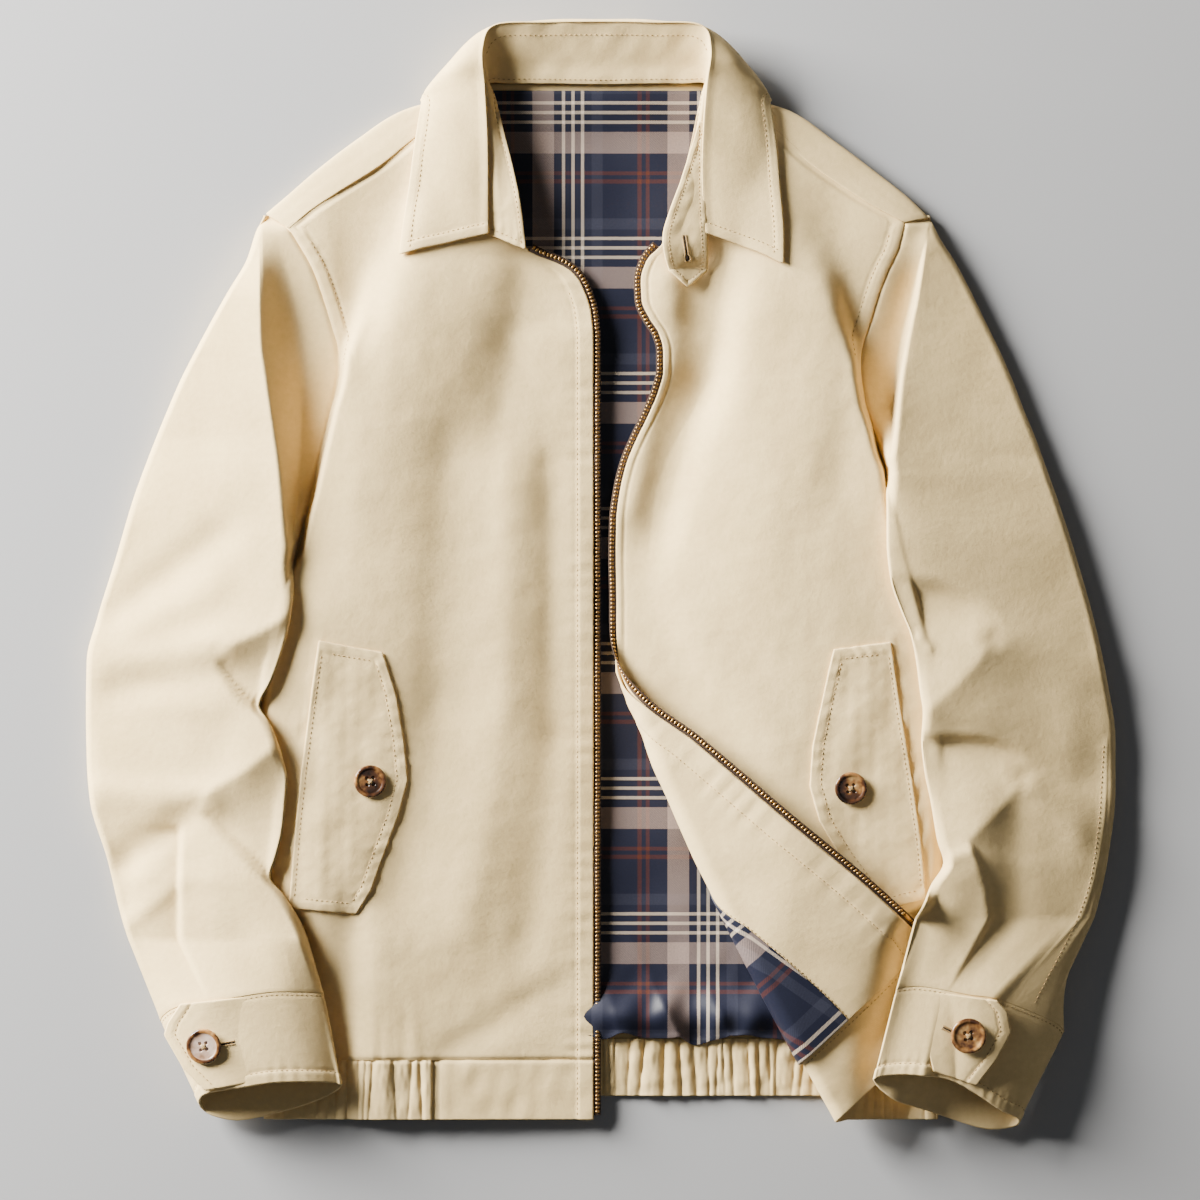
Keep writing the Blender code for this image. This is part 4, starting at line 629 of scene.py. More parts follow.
def cloth(name, grid, thickness, material, uv=None, rise=0.0,
          ring_from=None, other=False):
    """Close a grid of middle points into a cloth wall with a rounded rim.

    `rise` lifts the upper face only, or with `other` the one that a fold turns up. The rows
    from `ring_from` on close on themselves. No point goes below the surface. It also works out
    the sheet's flat size, its longest row by its longest column, but nothing uses that. The
    lifted face's points and normals are returned.
    """
    index = np.arange(grid[..., 0].size).reshape(grid.shape[:2])
    faces = np.stack([index[:-1, :-1], index[:-1, 1:], index[1:, 1:], index[1:, :-1]], axis=-1)
    faces = faces.reshape(-1, 4)
    if ring_from is not None:
        low, high = index[ring_from:-1], index[ring_from + 1:]
        faces = np.concatenate([faces, np.stack([low[:, -1], low[:, 0], high[:, 0], high[:, -1]],
                                                axis=-1)])
    points = grid.reshape(-1, 3)
    count = len(points)
    corners = points[faces]
    face_normals = np.cross(corners[:, 2] - corners[:, 0], corners[:, 3] - corners[:, 1])
    normals = unit(sum(sum_at(faces[:, k], face_normals, count) for k in range(4)))
    up = 1.0 if (normals[:, 2].sum() >= 0) != other else -1.0
    top = points + normals * up * (thickness / 2 + np.reshape(rise, (-1, 1)))
    bottom = points - normals * up * thickness / 2
    # The rim runs along the edges that only one face has.
    following = np.roll(faces, -1, axis=1)
    loose = ~np.isin(faces * count + following, following * count + faces).ravel()
    rim = np.stack([faces.ravel()[loose], following.ravel()[loose]])
    border = np.unique(rim)
    rim_at = np.searchsorted(border, rim)
    run = unit(points[rim[1]] - points[rim[0]])
    out = unit(sum(sum_at(at, np.cross(run, normals[ends]), len(border))
                   for ends, at in zip(rim, rim_at)))
    middle, half = (top[border] + bottom[border]) / 2, (top[border] - bottom[border]) / 2
    out *= np.linalg.norm(half, axis=1)[:, None]
    arcs = [middle + half * math.cos(angle) + out * math.sin(angle) for angle in RIM]
    everything = np.concatenate([top, bottom, *arcs])
    everything[:, 2] = np.maximum(everything[:, 2], 0.0)
    start, end = (np.stack([numbers, *(2 * count + k * len(border) + at for k in range(len(RIM))),
                            numbers + count]) for numbers, at in zip(rim, rim_at))
    sides = np.stack([end[:-1], start[:-1], start[1:], end[1:]], axis=-1).reshape(-1, 4)
    solid = np.concatenate([faces, faces[:, ::-1] + count, sides])
    if up < 0:
        solid = solid[:, ::-1]
    plan = (grid[..., :2] if uv is None else np.stack(uv, axis=-1)).reshape(-1, 2)
    coords = np.concatenate([plan, plan] + [plan[border]] * len(RIM))
    piece = place(name, everything, solid, material, coords, (name,))
    wide, long = run_lengths(grid, "left").max(), run_lengths(grid, "bottom").max()
    if ring_from is not None:
        wide += np.linalg.norm(grid[-1, 0] - grid[-1, -1])
    return top.reshape(grid.shape), (normals * up).reshape(grid.shape)


def at_distance(top, normals, side, away):
    """Line on a grid's upper face, `away` mm inside one border: points and normals."""
    run = run_lengths(top, side)
    if side in ("bottom", "top"):
        run, top, normals = run.T, top.transpose(1, 0, 2), normals.transpose(1, 0, 2)
    if side in ("right", "top"):
        run, top, normals = run[:, ::-1], top[:, ::-1], normals[:, ::-1]
    k = np.clip((run < away).sum(axis=1) - 1, 0, run.shape[1] - 2)
    line = np.arange(len(run))
    low, high = run[line, k], run[line, k + 1]
    share = ((away - low) / np.maximum(high - low, 1e-9))[:, None]
    return [table[line, k] * (1 - share) + table[line, k + 1] * share
            for table in (top, normals)]


def on_face(top, normals, line, step=1.5):
    """Points of a line (x, y), laid on a grid's upper face, and the normals there.

    A point's height is that of the nearest grid point's tangent plane.
    """
    line = np.array(line, float)
    length = np.linalg.norm(np.diff(line, axis=0), axis=1).sum()
    plan = along(line, np.linspace(0.0, 1.0, max(3, int(length / step))))
    upper = normals[..., 2] > 0.5
    points, turned = top[upper], normals[upper]
    away = ((plan[:, None] - points[None, :, :2]) ** 2).sum(axis=2)
    k = away.argmin(axis=1)
    near = away[np.arange(len(plan)), k] < 6.0
    plan, k = plan[near], k[near]
    near, normal = points[k], turned[k]
    z = near[:, 2] - ((plan - near[:, :2]) * normal[:, :2]).sum(axis=1) / normal[:, 2]
    return np.concatenate([plan, z[:, None]], axis=1), normal


STITCHES = {}           # by group, the points of its stitches


def spindle(group, start, end, normal, wide=0.30, high=0.26):
    """Add stitches from their ends: a spindle of thread for each pair of points.

    Spindle: two rings of six points round the stitch, at 28 % and 72 % of its length, between
    two end points that dip into the cloth.
    """
    normal = unit(normal)
    run = end - start
    side = np.cross(normal, unit(run))
    vertices = [(start + end) / 2 + run * share + side * wide * math.cos(turn)
                + normal * (high * math.sin(turn) + 0.10)
                for share in (-0.22, 0.22) for turn in np.arange(6) * math.pi / 3]
    vertices += [start - normal * 0.25, end - normal * 0.25]
    STITCHES.setdefault(group, []).append(np.stack(vertices, axis=1))


def sew(group, points, normals, pitch=3.3, long=2.35):
    """Add the stitches of one line, one each `pitch` mm, where the cloth faces up at all."""
    at = run_of(points)
    middles = np.arange(pitch, at[-1] - pitch * 0.6, pitch)
    if len(middles) < 2:
        return
    start, end, normal = (np.stack([np.interp(where, at, part) for part in table.T], axis=1)
                          for table, where in ((points, middles - long / 2),
                                               (points, middles + long / 2), (normals, middles)))
    keep = normal[:, 2] > -0.2
    if keep.any():
        spindle(group, start[keep], end[keep], normal[keep])


def sew_edge(group, face, side, away, low=-math.inf, high=math.inf):
    """Sew a cloth's upper face `away` mm inside one border, from y = low to y = high."""
    points, normals = at_distance(*face, side, away)
    keep = (points[:, 1] > low) & (points[:, 1] < high)
    sew(group, points[keep], normals[keep])


def buttonhole(group, top, normals, start, end, ball=1.0):
    """A worked buttonhole from start to end: a slot, wider at its end, with its stitches.

    The slot is a flat strip painted dark brown as the shade inside the cut; the stitches stand
    across its outline, 0.8 mm apart.
    """
    line, turned = on_face(top, normals, [start, end], 0.8)
    run = np.array(end, float) - start
    side = np.array([-run[1], run[0], 0.0]) / np.linalg.norm(run)
    share = np.linspace(0.0, 1.0, len(line))
    half = 0.45 + ball * np.clip((share - 0.72) / 0.14, 0.0, 1.0) * np.sqrt(
        np.clip(1.0 - ((share - 0.86) / 0.15) ** 2, 0.0, 1.0))
    line = line + turned * 0.22
    edges = []
    for way in (-1.0, 1.0):
        inner, outer = (line + side * way * (half + more)[:, None] for more in (0.0, 1.25))
        spindle(group, inner, outer, turned, 0.36, 0.24)
        edges.append(inner)
    points = np.concatenate(edges + [edge - turned * 0.5 for edge in edges])
    n = len(line)
    k = np.arange(n - 1)
    faces = [np.stack([a + k, b + k, b + k + 1, a + k + 1], axis=-1)
             for a, b in ((n, 0), (0, 2 * n), (2 * n, 3 * n), (3 * n, n))]
    ends = np.array([[0, n, 3 * n, 2 * n], [n - 1, 3 * n - 1, 4 * n - 1, 2 * n - 1]])
    # The slot strip is painted shade: dark brown where the cut would lie in shadow.
    place("slit_shade_" + group, points, np.concatenate(faces + [ends]), SLIT_SHADE)


def finish_sewing():
    """Make one object of each group of stitches."""
    for group, blocks in STITCHES.items():
        place_bodies("stitches_" + group, np.concatenate(blocks), round_faces(2, 6), THREAD)


# ---------------------------------------------------------------- materials

def new_material(name):
    """New material, with its node tree and its Principled shader."""
    material = bpy.data.materials.new(name)
    material.use_nodes = True
    return material, material.node_tree, material.node_tree.nodes["Principled BSDF"]


def give(tree, socket, value):
    """Link a socket to its input, or give that a value."""
    if isinstance(value, bpy.types.NodeSocket):
        tree.links.new(value, socket)
    else:
        socket.default_value = value


def feed(tree, node, **inputs):
    """Give a node its inputs by name, with low lines for a name's spaces."""
    for name, value in inputs.items():
        give(tree, node.inputs[name.replace("_", " ")], value)
    return node


def add(tree, kind, **inputs):
    """New shader node of a kind, with its inputs."""
    return feed(tree, tree.nodes.new("ShaderNode" + kind), **inputs)


def mix(tree, kind, a, b, factor):
    """Colours mixed in one of the Mix node's ways."""
    node = add(tree, "Mix")
    node.data_type, node.blend_type, node.clamp_result = "RGBA", kind, False
    return feed(tree, node, Factor=factor, A=a, B=b).outputs["Result"]


def maths(tree, operation, *values):
    """Math node with its inputs given as sockets or values."""
    node = add(tree, "Math")
    node.operation = operation
    for socket, value in zip(node.inputs, values):
        give(tree, socket, value)
    return node.outputs[0]


def weighted(tree, first, *others):
    """Sum of sockets, each given with its factor."""
    total = maths(tree, "MULTIPLY", *first)
    for pair in others:
        total = maths(tree, "ADD", total, maths(tree, "MULTIPLY", *pair))
    return total


def noise(tree, vector, scale, detail=3.0, rough=0.5):
    """Noise on the given coordinates."""
    return add(tree, "TexNoise", Vector=vector, Scale=scale, Detail=detail,
               Roughness=rough).outputs["Fac"]


def ramp(tree, value, stops, constant=False):
    """Colour ramp through (position, colour) stops."""
    node = add(tree, "ValToRGB", Fac=value)
    band = node.color_ramp
    band.interpolation = "CONSTANT" if constant else "LINEAR"
    while len(band.elements) < len(stops):
        band.elements.new(0.5)
    for element, (position, colour) in zip(band.elements, stops):
        element.position = position
        element.color = (*colour, 1.0)
    return node.outputs["Color"]


def linear(*srgb):
    """Linear colour of an sRGB one given in 0..255."""
    c = np.array(srgb, float) / 255.0
    return tuple(np.where(c <= 0.04045, c / 12.92, ((c + 0.055) / 1.055) ** 2.4))


def split(tree, vector):
    """The first two coordinates of a vector."""
    node = add(tree, "SeparateXYZ")
    give(tree, node.inputs[0], vector)
    return node.outputs[0], node.outputs[1]


def cloth_coordinates(tree):
    """The piece's own cloth coordinates, in metres of cloth."""
    node = add(tree, "UVMap")
    node.uv_map = "cloth"
    return node.outputs["UV"]


def finish_cloth(tree, shader, tone, grain, height, bump, **inputs):
    """Cloth's colour times its grain, its relief (strength and depth), and other inputs."""
    relief = add(tree, "Bump", Strength=bump[0], Distance=bump[1], Height=height)
    feed(tree, shader, Base_Color=mix(tree, "MULTIPLY", tone, grain, 1.0),
         Normal=relief.outputs["Normal"], **inputs)


RIB_PITCH = 0.7         # mm, across the diagonal ribs
YARN_PITCH = 0.00055    # metres


def twill(name, colour):
    """Peached cotton twill: pale khaki with a diagonal rib, soft mottling and a light nap.

    The relief is the sine wave of the rib, crossed by the yarn's own and roughened by noise.
    """
    material, tree, shader = new_material(name)
    where = cloth_coordinates(tree)
    u, v = split(tree, where)
    turns = maths(tree, "DIVIDE", weighted(tree, (u, 900.0), (v, 436.0)), RIB_PITCH)
    rib = maths(tree, "SINE", maths(tree, "MULTIPLY", turns, 2 * math.pi))
    yarn = maths(tree, "SINE", maths(tree, "MULTIPLY", v, 2 * math.pi / YARN_PITCH))
    fuzz = noise(tree, where, 1400.0, 2.0, 0.6)
    slub = noise(tree, where, 260.0, 3.0, 0.6)
    crinkle = noise(tree, where, 170.0, 5.0, 0.65)
    height = weighted(tree, (rib, 0.14), (yarn, 0.06), (fuzz, 0.45), (slub, 1.0), (crinkle, 1.9))
    base = linear(*colour)
    light = tuple(min(1.0, c * 1.045) for c in base)
    dark = tuple(c * f for c, f in zip(base, (0.955, 0.945, 0.92)))
    tone = ramp(tree, noise(tree, where, 22.0, 4.0, 0.6), [(0.35, dark), (0.65, light)])
    grain = ramp(tree, slub, [(0.30, (0.95, 0.945, 0.935)), (0.70, (1.03, 1.03, 1.03))])
    finish_cloth(tree, shader, tone, grain, height, (0.5, 0.00022), Roughness=0.86,
                 Specular_IOR_Level=0.18, Sheen_Weight=0.08, Sheen_Roughness=0.45)
    return material


NAVY = linear(20, 23, 40)
BEIGE = linear(142, 124, 116)
CREAM = linear(196, 180, 160)
RUST = linear(74, 36, 26)
SLATE = linear(44, 46, 60)
# One repeat of the plaid: where each stripe starts, as a share, and its colour.
SETT = [
    (0.00, NAVY), (0.14, RUST), (0.17, NAVY), (0.20, RUST), (0.23, NAVY), (0.36, BEIGE),
    (0.52, NAVY), (0.58, CREAM), (0.605, NAVY), (0.65, CREAM), (0.675, NAVY), (0.72, CREAM),
    (0.745, NAVY), (0.80, SLATE), (0.88, NAVY),
]
SETT_SIZE = 0.088       # metres
SETT_START = (-0.012, 0.020, 0.0)
THREAD_STEP = 0.0011    # one thread of each colour, in metres


def plaid(name):
    """Plain-woven plaid lining: the same stripes both ways, the two colours averaged."""
    material, tree, shader = new_material(name)
    where = cloth_coordinates(tree)
    moved = add(tree, "Mapping", Vector=where, Location=SETT_START)
    u, v = split(tree, moved.outputs["Vector"])
    stripes = [ramp(tree, maths(tree, "FRACT", maths(tree, "DIVIDE", run, SETT_SIZE)), SETT,
                    constant=True) for run in (u, v)]
    thread = maths(tree, "FRACT", maths(tree, "DIVIDE", maths(tree, "ADD", u, v), THREAD_STEP))
    upper = maths(tree, "MULTIPLY", maths(tree, "GREATER_THAN", thread, 0.5), 0.34)
    colour = mix(tree, "MIX", *stripes, maths(tree, "ADD", upper, 0.33))
    fuzz = noise(tree, where, 900.0, 2.0)
    grain = ramp(tree, fuzz, [(0.3, (0.88, 0.88, 0.88)), (0.7, (1.1, 1.1, 1.1))])
    finish_cloth(tree, shader, colour, grain, fuzz, (0.2, 0.0002), Roughness=0.5,
                 Specular_IOR_Level=0.3)
    return material


def clouded(name, scale, rough, stops, **inputs):
    """Material whose colour runs through stops with noise on the object's coordinates."""
    material, tree, shader = new_material(name)
    value = noise(tree, add(tree, "TexCoord").outputs["Object"], scale, 3.0, rough)
    feed(tree, shader, Base_Color=ramp(tree, value, stops), **inputs)
    return material


def simple(name, colour, rough, metal=0.0, spread=0.12):
    """Material whose colour varies a little with noise."""
    stops = [(at, tuple(min(1.0, c * (1 + change)) for c in linear(*colour)))
             for at, change in ((0.3, -spread), (0.7, spread))]
    return clouded(name, 600.0, 0.5, stops, Roughness=rough, Metallic=metal)


def horn(name, tones):
    """Mottled horn: clouds of four tones, dark to light, under a polished face."""
    stops = [(at, linear(*tone)) for at, tone in zip((0.34, 0.47, 0.58, 0.70), tones)]
    return clouded(name, 85.0, 0.55, stops, Roughness=0.24, Coat_Weight=0.35)


TWILL = twill("twill", (225, 198, 143))
PLAID = plaid("plaid")
# Thread a little darker than the cloth: partly its own tone, partly painted shade of the stitch
# holes.
THREAD = simple("thread", (176, 146, 98), 0.8, spread=0.08)
BRASS = simple("brass", (190, 150, 90), 0.35, 1.0)
TAPE = simple("zip tape", (58, 42, 30), 0.9)
HORN = horn("horn", ((26, 15, 9), (70, 42, 24), (140, 98, 54), (196, 158, 100)))
PALE_HORN = horn("pale horn", ((96, 66, 44), (150, 122, 102), (176, 152, 138), (190, 170, 158)))
# Painted shade: dark brown for the inside of a buttonhole's slit, where the cut lies in shadow.
SLIT_SHADE = simple("slit shade", (40, 26, 16), 0.9)


# ---------------------------------------------------------------- fronts

def rows_between(low, high, step):
    """Heights from low to high, close near both ends and about `step` mm apart between."""
    count = max(2, int((high - low - 2 * NEAR[-1]) / step))
    return across(np.array([low]), np.array([high]), count)[:, None]


def strip(first, second, width, count):
    """Plan of a strip between two lines, with close columns at both, and the columns' shares."""
    share = across(np.zeros(1), np.full(1, width), count)[:, None] / width
    return first[:, None] + (second - first)[:, None] * share, share[:, 0]


NECK_SEAM = 0.9         # a front's neckline stays this far from the stand's seam
SEAM_STITCH = 7.8       # topstitch beside the armhole and shoulder seams
ARMHOLE_STITCH = SEAM_STITCH / 0.93     # the same, measured along a front's upper face
EDGE_STITCH = 6.5       # topstitch along the free edges of collar, flaps and tabs
WELT_STITCH = 2.4       # and close beside a seam
TAB_STITCH = 3.4        # and on the throat tab and the stand's end
TUCK = 2.6              # how far a seam's lower piece reaches under the upper one


def cloth_unevenness(x, y, seed):
    """Hand of the cloth: broad soft waves with small ones on them."""
    return crumple(x, y, 72.0, 0.36, seed) + crumple(x, y, 24.0, 0.07, seed + 50)


FRONT_SEED = {"right": 3, "left": 4}


def front_surface(side, x, y):
    """Height of a front's cloth with its hand."""
    return front_height(side, x, y) + cloth_unevenness(x, y, FRONT_SEED[side])


def tucked(away, deep=1.25, reach=3.2):
    """Drop of a piece that passes under its neighbour: full at the border, none past `reach`."""
    return -deep * (1.0 - step_up((away - TUCK + 0.4) / reach))


WELT = {                # sewn border of each pocket flap, from the top down
    "right": [(-182, -41.5), (-186.5, -80), (-193, -125.5), (-197, -164.5), (-201, -214.5)],
    "left": [(188, -42), (194.5, -86.5), (202, -132), (207.5, -171), (211, -208.5)],
}


def front_relief(side, x, y):
    """Rise of a front's upper face: armhole band, shoulder seam and pocket welt."""
    shoulder, armhole, _ = FRONTS[side]["border"]
    seam = along(armhole, np.linspace(0.0, 1.0, 60))
    away, _, run, _ = nearest(seam, x, y)
    rise = (seam_relief(away, SEAM_STITCH) + pucker(away, run, SEAM_STITCH, 5, 0.22)
            ) * step_up((y - seam[0, 1] + 92.0) / 20.0)
    under = nearest(along(shoulder, np.linspace(0.0, 1.0, 40)), x, y)[0]
    rise = rise + tucked(under, 1.0) * step_up((y - seam[0, 1] + 4.0) / 4.0)
    welt, beside, _, _ = nearest(along(WELT[side], np.linspace(0.0, 1.0, 30)), x, y)
    outside = np.maximum(welt * beside * FRONTS[side]["inward"], 0.0)
    rise = rise + 0.7 * bell((outside - 1.3) / 0.8) - 0.6 * bell((outside - 2.9) / 0.7)
    return rise + 0.25 * bell((outside - 5.0) / 4.0) * crumple(x, y, 13.0, 1.0, 91)


PLACKET = 10.0          # topstitch beside the zip


def hem_fullness(x, from_hem, x0, x1, seed):
    """Pleats that fade upwards from a gathered hem seam, each of its own length and height."""
    rng = np.random.default_rng(seed)
    total = -0.9 * bell(from_hem / 1.2)
    at = x0
    while at < x1:
        high, wide, long = rng.uniform(0.5, 1.5), rng.uniform(2.2, 4.2), rng.uniform(9, 34)
        across_it = x - at - rng.uniform(-0.14, 0.14) * from_hem
        total = total + high * np.exp(-(across_it / wide) ** 2 - from_hem / long)
        at += rng.uniform(5.5, 10.5)
    return total


def front_right():
    """Right front panel: rows across from the outer border to the zip edge."""
    front = FRONTS["right"]
    y = rows_between(HEM_SEAM_Y + SEAM, FRONT_TOP_Y, 3.2)
    start = side_line(front, y) - TUCK * (y > ARMHOLE_RIGHT[0][1])
    end = front_edge(front, y) - NECK_SEAM * step_up((y - 208.0) / 5.0)
    x = across(start, end, 70)
    grid = grid_of(x, y, front_surface("right", x, y))
    from_zip, from_hem = run_lengths(grid, "right"), run_lengths(grid, "bottom")
    rise = front_relief("right", x, y) + hem_fullness(x, from_hem, -195, -104, 21)
    rise = rise + (seam_relief(from_zip, PLACKET, ditch=0.0) + pucker(
        from_zip, y, PLACKET, 6, 0.3, 8.0)) * step_up((205.0 - y) / 12.0)
    face = cloth("front_right", grid, SHELL, TWILL, rise=rise)
    sew_edge("armhole", face, "left", ARMHOLE_STITCH, 134.0, 222.0)
    sew_edge("placket", face, "right", PLACKET, high=192.0)


def band_columns(y, start, end, counts):
    """Unfolded x, and y, of rows that follow the fold.

    Even steps run from `start` to the roll, close steps round it, and even steps on to `end`;
    a narrow row shares itself out among the three.
    """
    before, around, after = counts
    whole = end - start
    line, lean = fold_at(y)
    width = np.minimum(math.pi * (ROLL + 1.0) * np.sqrt(1.0 + lean ** 2), 0.4 * whole)
    low = over(line - width, start + np.minimum(before * 1.1, 0.2 * whole), 2.0)
    low = np.minimum(low, end - width - np.minimum(after * 1.1, 0.2 * whole))
    high = low + width
    parts = [a + (b - a) * np.linspace(0, 1, count + 1)[:count + last]
             for a, b, count, last in ((start, low, before, 0), (low, high, around, 0),
                                       (high, end, after, 1))]
    x = np.concatenate(parts, axis=1)
    return x, np.broadcast_to(y, x.shape)


def front_left():
    """Left front panel with its lower corner turned back."""
    front = FRONTS["left"]
    y = rows_between(HEM_SEAM_Y + SEAM, FRONT_TOP_Y, 3.2)
    edge = front_edge(front, y) + NECK_SEAM * step_up((y - 208.0) / 5.0)
    border = side_line(front, y) + TUCK * (y > ARMHOLE_LEFT[0][1])
    x, y = band_columns(y, edge, border, (40, 24, 56))
    grid = turn_back(x, y, 0.0)
    flat = x > level(FOLD_LEFT, y)
    grid[..., 2] += cloth_unevenness(x, y, FRONT_SEED["left"]) * flat
    from_zip, from_hem = run_lengths(grid, "left"), run_lengths(grid, "bottom")
    open_part = step_up((y + 60.0) / 20.0) * step_up((212.0 - y) / 8.0)
    rise = seam_relief(from_zip, 4.0, ditch=0.0, high=0.4) * open_part + (
        front_relief("left", x, y) + hem_fullness(x, from_hem, 154.5, 227.5, 22)) * flat
    face = cloth("front_left", grid, SHELL, TWILL, rise=rise, uv=(x, y))
    sew_edge("armhole", face, "right", ARMHOLE_STITCH, 139.0, 226.0)


FACING_STITCH = 14.5


def facing_left():
    """Facing behind the left zip edge; on the turned corner it is what shows."""
    y = rows_between(HEM_SEAM_Y + SEAM, 205, 3.5)
    edge = level(ZIP_LEFT, y)
    x, y = band_columns(y, edge, edge + FACING_WIDTH, (36, 24, 10))
    x[:, :1] = np.minimum(edge - level(FACING_PEEK, y[:, :1]), x[:, 1:2] - 0.3)
    grid = turn_back(x, y, FACING_UNDER)
    from_zip = run_lengths(grid, "left")
    rise = (seam_relief(from_zip, FACING_STITCH, ditch=0.0, high=0.5)
            + pucker(from_zip, y, FACING_STITCH, 12, 0.35, 11.0) + crumple(x, y, 34.0, 0.3, 31)
            ) * (x < level(FOLD_LEFT, y) - 8.0)
    face = cloth("facing_left", grid, LINING, TWILL, uv=(x, y), rise=rise,
                 other=True)
    for side, away, below in (("left", FACING_STITCH, -100.0), ("right", 0.9, -160.0)):
        points, normals = at_distance(*face, side, away)
        keep = (y[:, 0] < below) & (normals[:, 2] > 0.3)
        sew("facing", points[keep], normals[keep])


def lining_left():
    """Lining beside the facing, where the turned corner shows it."""
    y = rows_between(HEM_SEAM_Y + SEAM, -203, 3.0)
    start = level(ZIP_LEFT, y) + FACING_WIDTH
    x = across(start + 0.3, level(FOLD_LEFT, y) + 9.0, 30)
    y = np.broadcast_to(y, x.shape)
    cloth("lining_left", turn_back(x, y, FACING_UNDER + 0.9), LINING, PLAID,
          uv=(x, y))


GATHER_PITCH = 9.1      # one gather of the hem band


def gathered(x, x0, x1, down, high, seed):
    """Uneven gathers between x0 and x1: narrow hollows between round ribs.

    Each rib is the square root of a half wave over its own width, full at the seam (down = 0)
    and down to its own share of that at the lower edge (down = 1); `down` also slants it.
    """
    rng = np.random.default_rng(seed)
    widths = rng.uniform(0.4, 1.7, int((x1 - x0) / GATHER_PITCH) + 1)
    ends = x0 + np.concatenate([[0.0], np.cumsum(widths)]) / widths.sum() * (x1 - x0)
    highs = rng.uniform(0.5, 1.15, len(widths)) * np.minimum(1.0, 0.45 + 0.55 * widths)
    fades = rng.uniform(0.15, 0.95, len(widths))
    leans = rng.uniform(-0.38, 0.38, len(ends)) * GATHER_PITCH
    shifted = x - np.interp(x, ends, leans) * (down - 0.4)
    k = np.clip(np.searchsorted(ends, shifted) - 1, 0, len(widths) - 1)
    t = np.clip((shifted - ends[k]) / (ends[k + 1] - ends[k]), 0.0, 1.0)
    rib = np.clip(np.sin(math.pi * t ** rng.uniform(0.8, 1.25)), 0.0, 1.0) ** 0.62 * highs[k]
    inside = (x > x0) & (x < x1)
    fine = 0.22 * crumple(x, 0.3 * down * 38.0, 5.0, 1.0, seed + 9) * (1.0 - 0.6 * down)
    return np.where(inside, high * rib * (1.0 - fades[k] * down) + fine, 0.0)


def hem_band_right():
    """Right hem band: gathered from the side seam to the plain front part."""
    x0, x1, plain = -218.5, -108.5, -5
    x = np.concatenate([np.arange(x0, x1, 0.8), np.arange(x1, plain - 12.0, 1.2),
                        plain - NEAR[::-1]])[None, :]
    x, y = np.broadcast_arrays(x, rows_between(HEM_Y, HEM_SEAM_Y - SEAM, 2.2))
    down = (HEM_SEAM_Y - y) / (HEM_SEAM_Y - HEM_Y)
    z = front_height("right", x, y) + gathered(x, x0, x1, down, GATHER_HIGH * 1.15, 5)
    grid = grid_of(x, y, z - 1.0 + step_up((x - x1) / 10.0))
    rise = seam_relief(np.abs(x - x1), 3.0, high=0.3, ditch=0.9)
    rise = rise + seam_relief(run_lengths(grid, "right"), PLACKET, ditch=0.0)
    rise = rise - 0.8 * bell(run_lengths(grid, "top")) + crumple(x, y, 20.0, 0.18, 41)
    face = cloth("hem_band_right", grid, SHELL, TWILL, rise=rise)
    sew_edge("placket", face, "right", PLACKET)


def hem_band_left():
    """Left hem band: its gathered part lies flat, its plain front part is turned back."""
    y = rows_between(HEM_Y, HEM_SEAM_Y - SEAM, 2.2)
    start = level(FOLD_LEFT, y) + 4.0
    border = side_line(FRONTS["left"], y)
    plain, _ = band_columns(y, level(ZIP_LEFT, y), start, (60, 24, 4))
    waves = start + (border - start) * np.linspace(0.0, 1.0, 110)[None, 1:]
    x = np.concatenate([plain, waves], axis=1)
    y = np.broadcast_to(y, x.shape)
    grid = turn_back(x, y, 0.0)
    down = (HEM_SEAM_Y - y) / (HEM_SEAM_Y - HEM_Y)
    ribs = gathered(x, float(start.max()), float(border.min()), down, GATHER_HIGH, 6)
    grid[..., 2] += ribs + crumple(x, y, 24.0, 0.25, 42)
    face = cloth("hem_band_left", grid, SHELL, TWILL, uv=(x, y),
                 rise=-0.6 * bell(run_lengths(grid, "top")))
    points, normals = at_distance(*face, "top", WELT_STITCH)
    flip = normals[:, 2] < -0.3
    sew("hem", points[flip] - normals[flip] * SHELL, -normals[flip])


def hem_band_back():
    """Gathered hem band of the back, lying on the surface."""
    x0, x1 = -219.5, 220.5
    x, y = np.broadcast_arrays(np.arange(x0, x1, 0.95)[None, :],
                               rows_between(HEM_BACK_Y, HEM_BACK_TOP_Y + 3.0, 2.6))
    down = np.clip((HEM_BACK_TOP_Y - y) / (HEM_BACK_TOP_Y - HEM_BACK_Y), 0.0, 1.0)
    grid = grid_of(x, y, FLOOR + 0.4 + gathered(x, x0, x1, down, 3.4, 7))
    cloth("hem_band_back", grid, SHELL, TWILL, rise=crumple(x, y, 14.0, 0.2, 43))


BACK_FLOOR_RIGHT = [
    (-212.5, 233.5), (-201.5, 240), (-179, 258), (-153.5, 276), (-125, 290.5), (-94, 289),
    (-72, 286),
]
BACK_FLOOR_LEFT = [
    (210, 233.5), (198, 240.5), (174, 258), (148, 276), (119.5, 292), (91, 289), (68, 286),
]
BACK_EDGE_RIGHT = [
    (-216.5, 236.5), (-206.5, 245), (-184.5, 264), (-159, 283.5), (-128.5, 303), (-97.5, 309.5),
    (-72, 307),
]
BACK_EDGE_LEFT = [
    (213, 234), (202, 245), (178, 264), (152, 283.5), (123, 303), (93.5, 309.5), (68, 307),
]
BACK_EDGE_Z = [6.0, 6.0, 6.0, 6.0, 6.0, 5.2, 4.0]
BACK_SEAM_Z = [11.5, 11.5, 11.0, 11.0, 10.5, 10.0, 8.5, 5.6]
SHOULDER_COUNT = 40
NECK_BACK_COUNT = 30


def across_back(right, left):
    """A whole line across the back, from the lines of its two shoulders."""
    neck = right[-1] + (left[-1] - right[-1]) * np.linspace(0, 1, NECK_BACK_COUNT + 2)[1:-1, None]
    return np.concatenate([right, neck, left[::-1]])


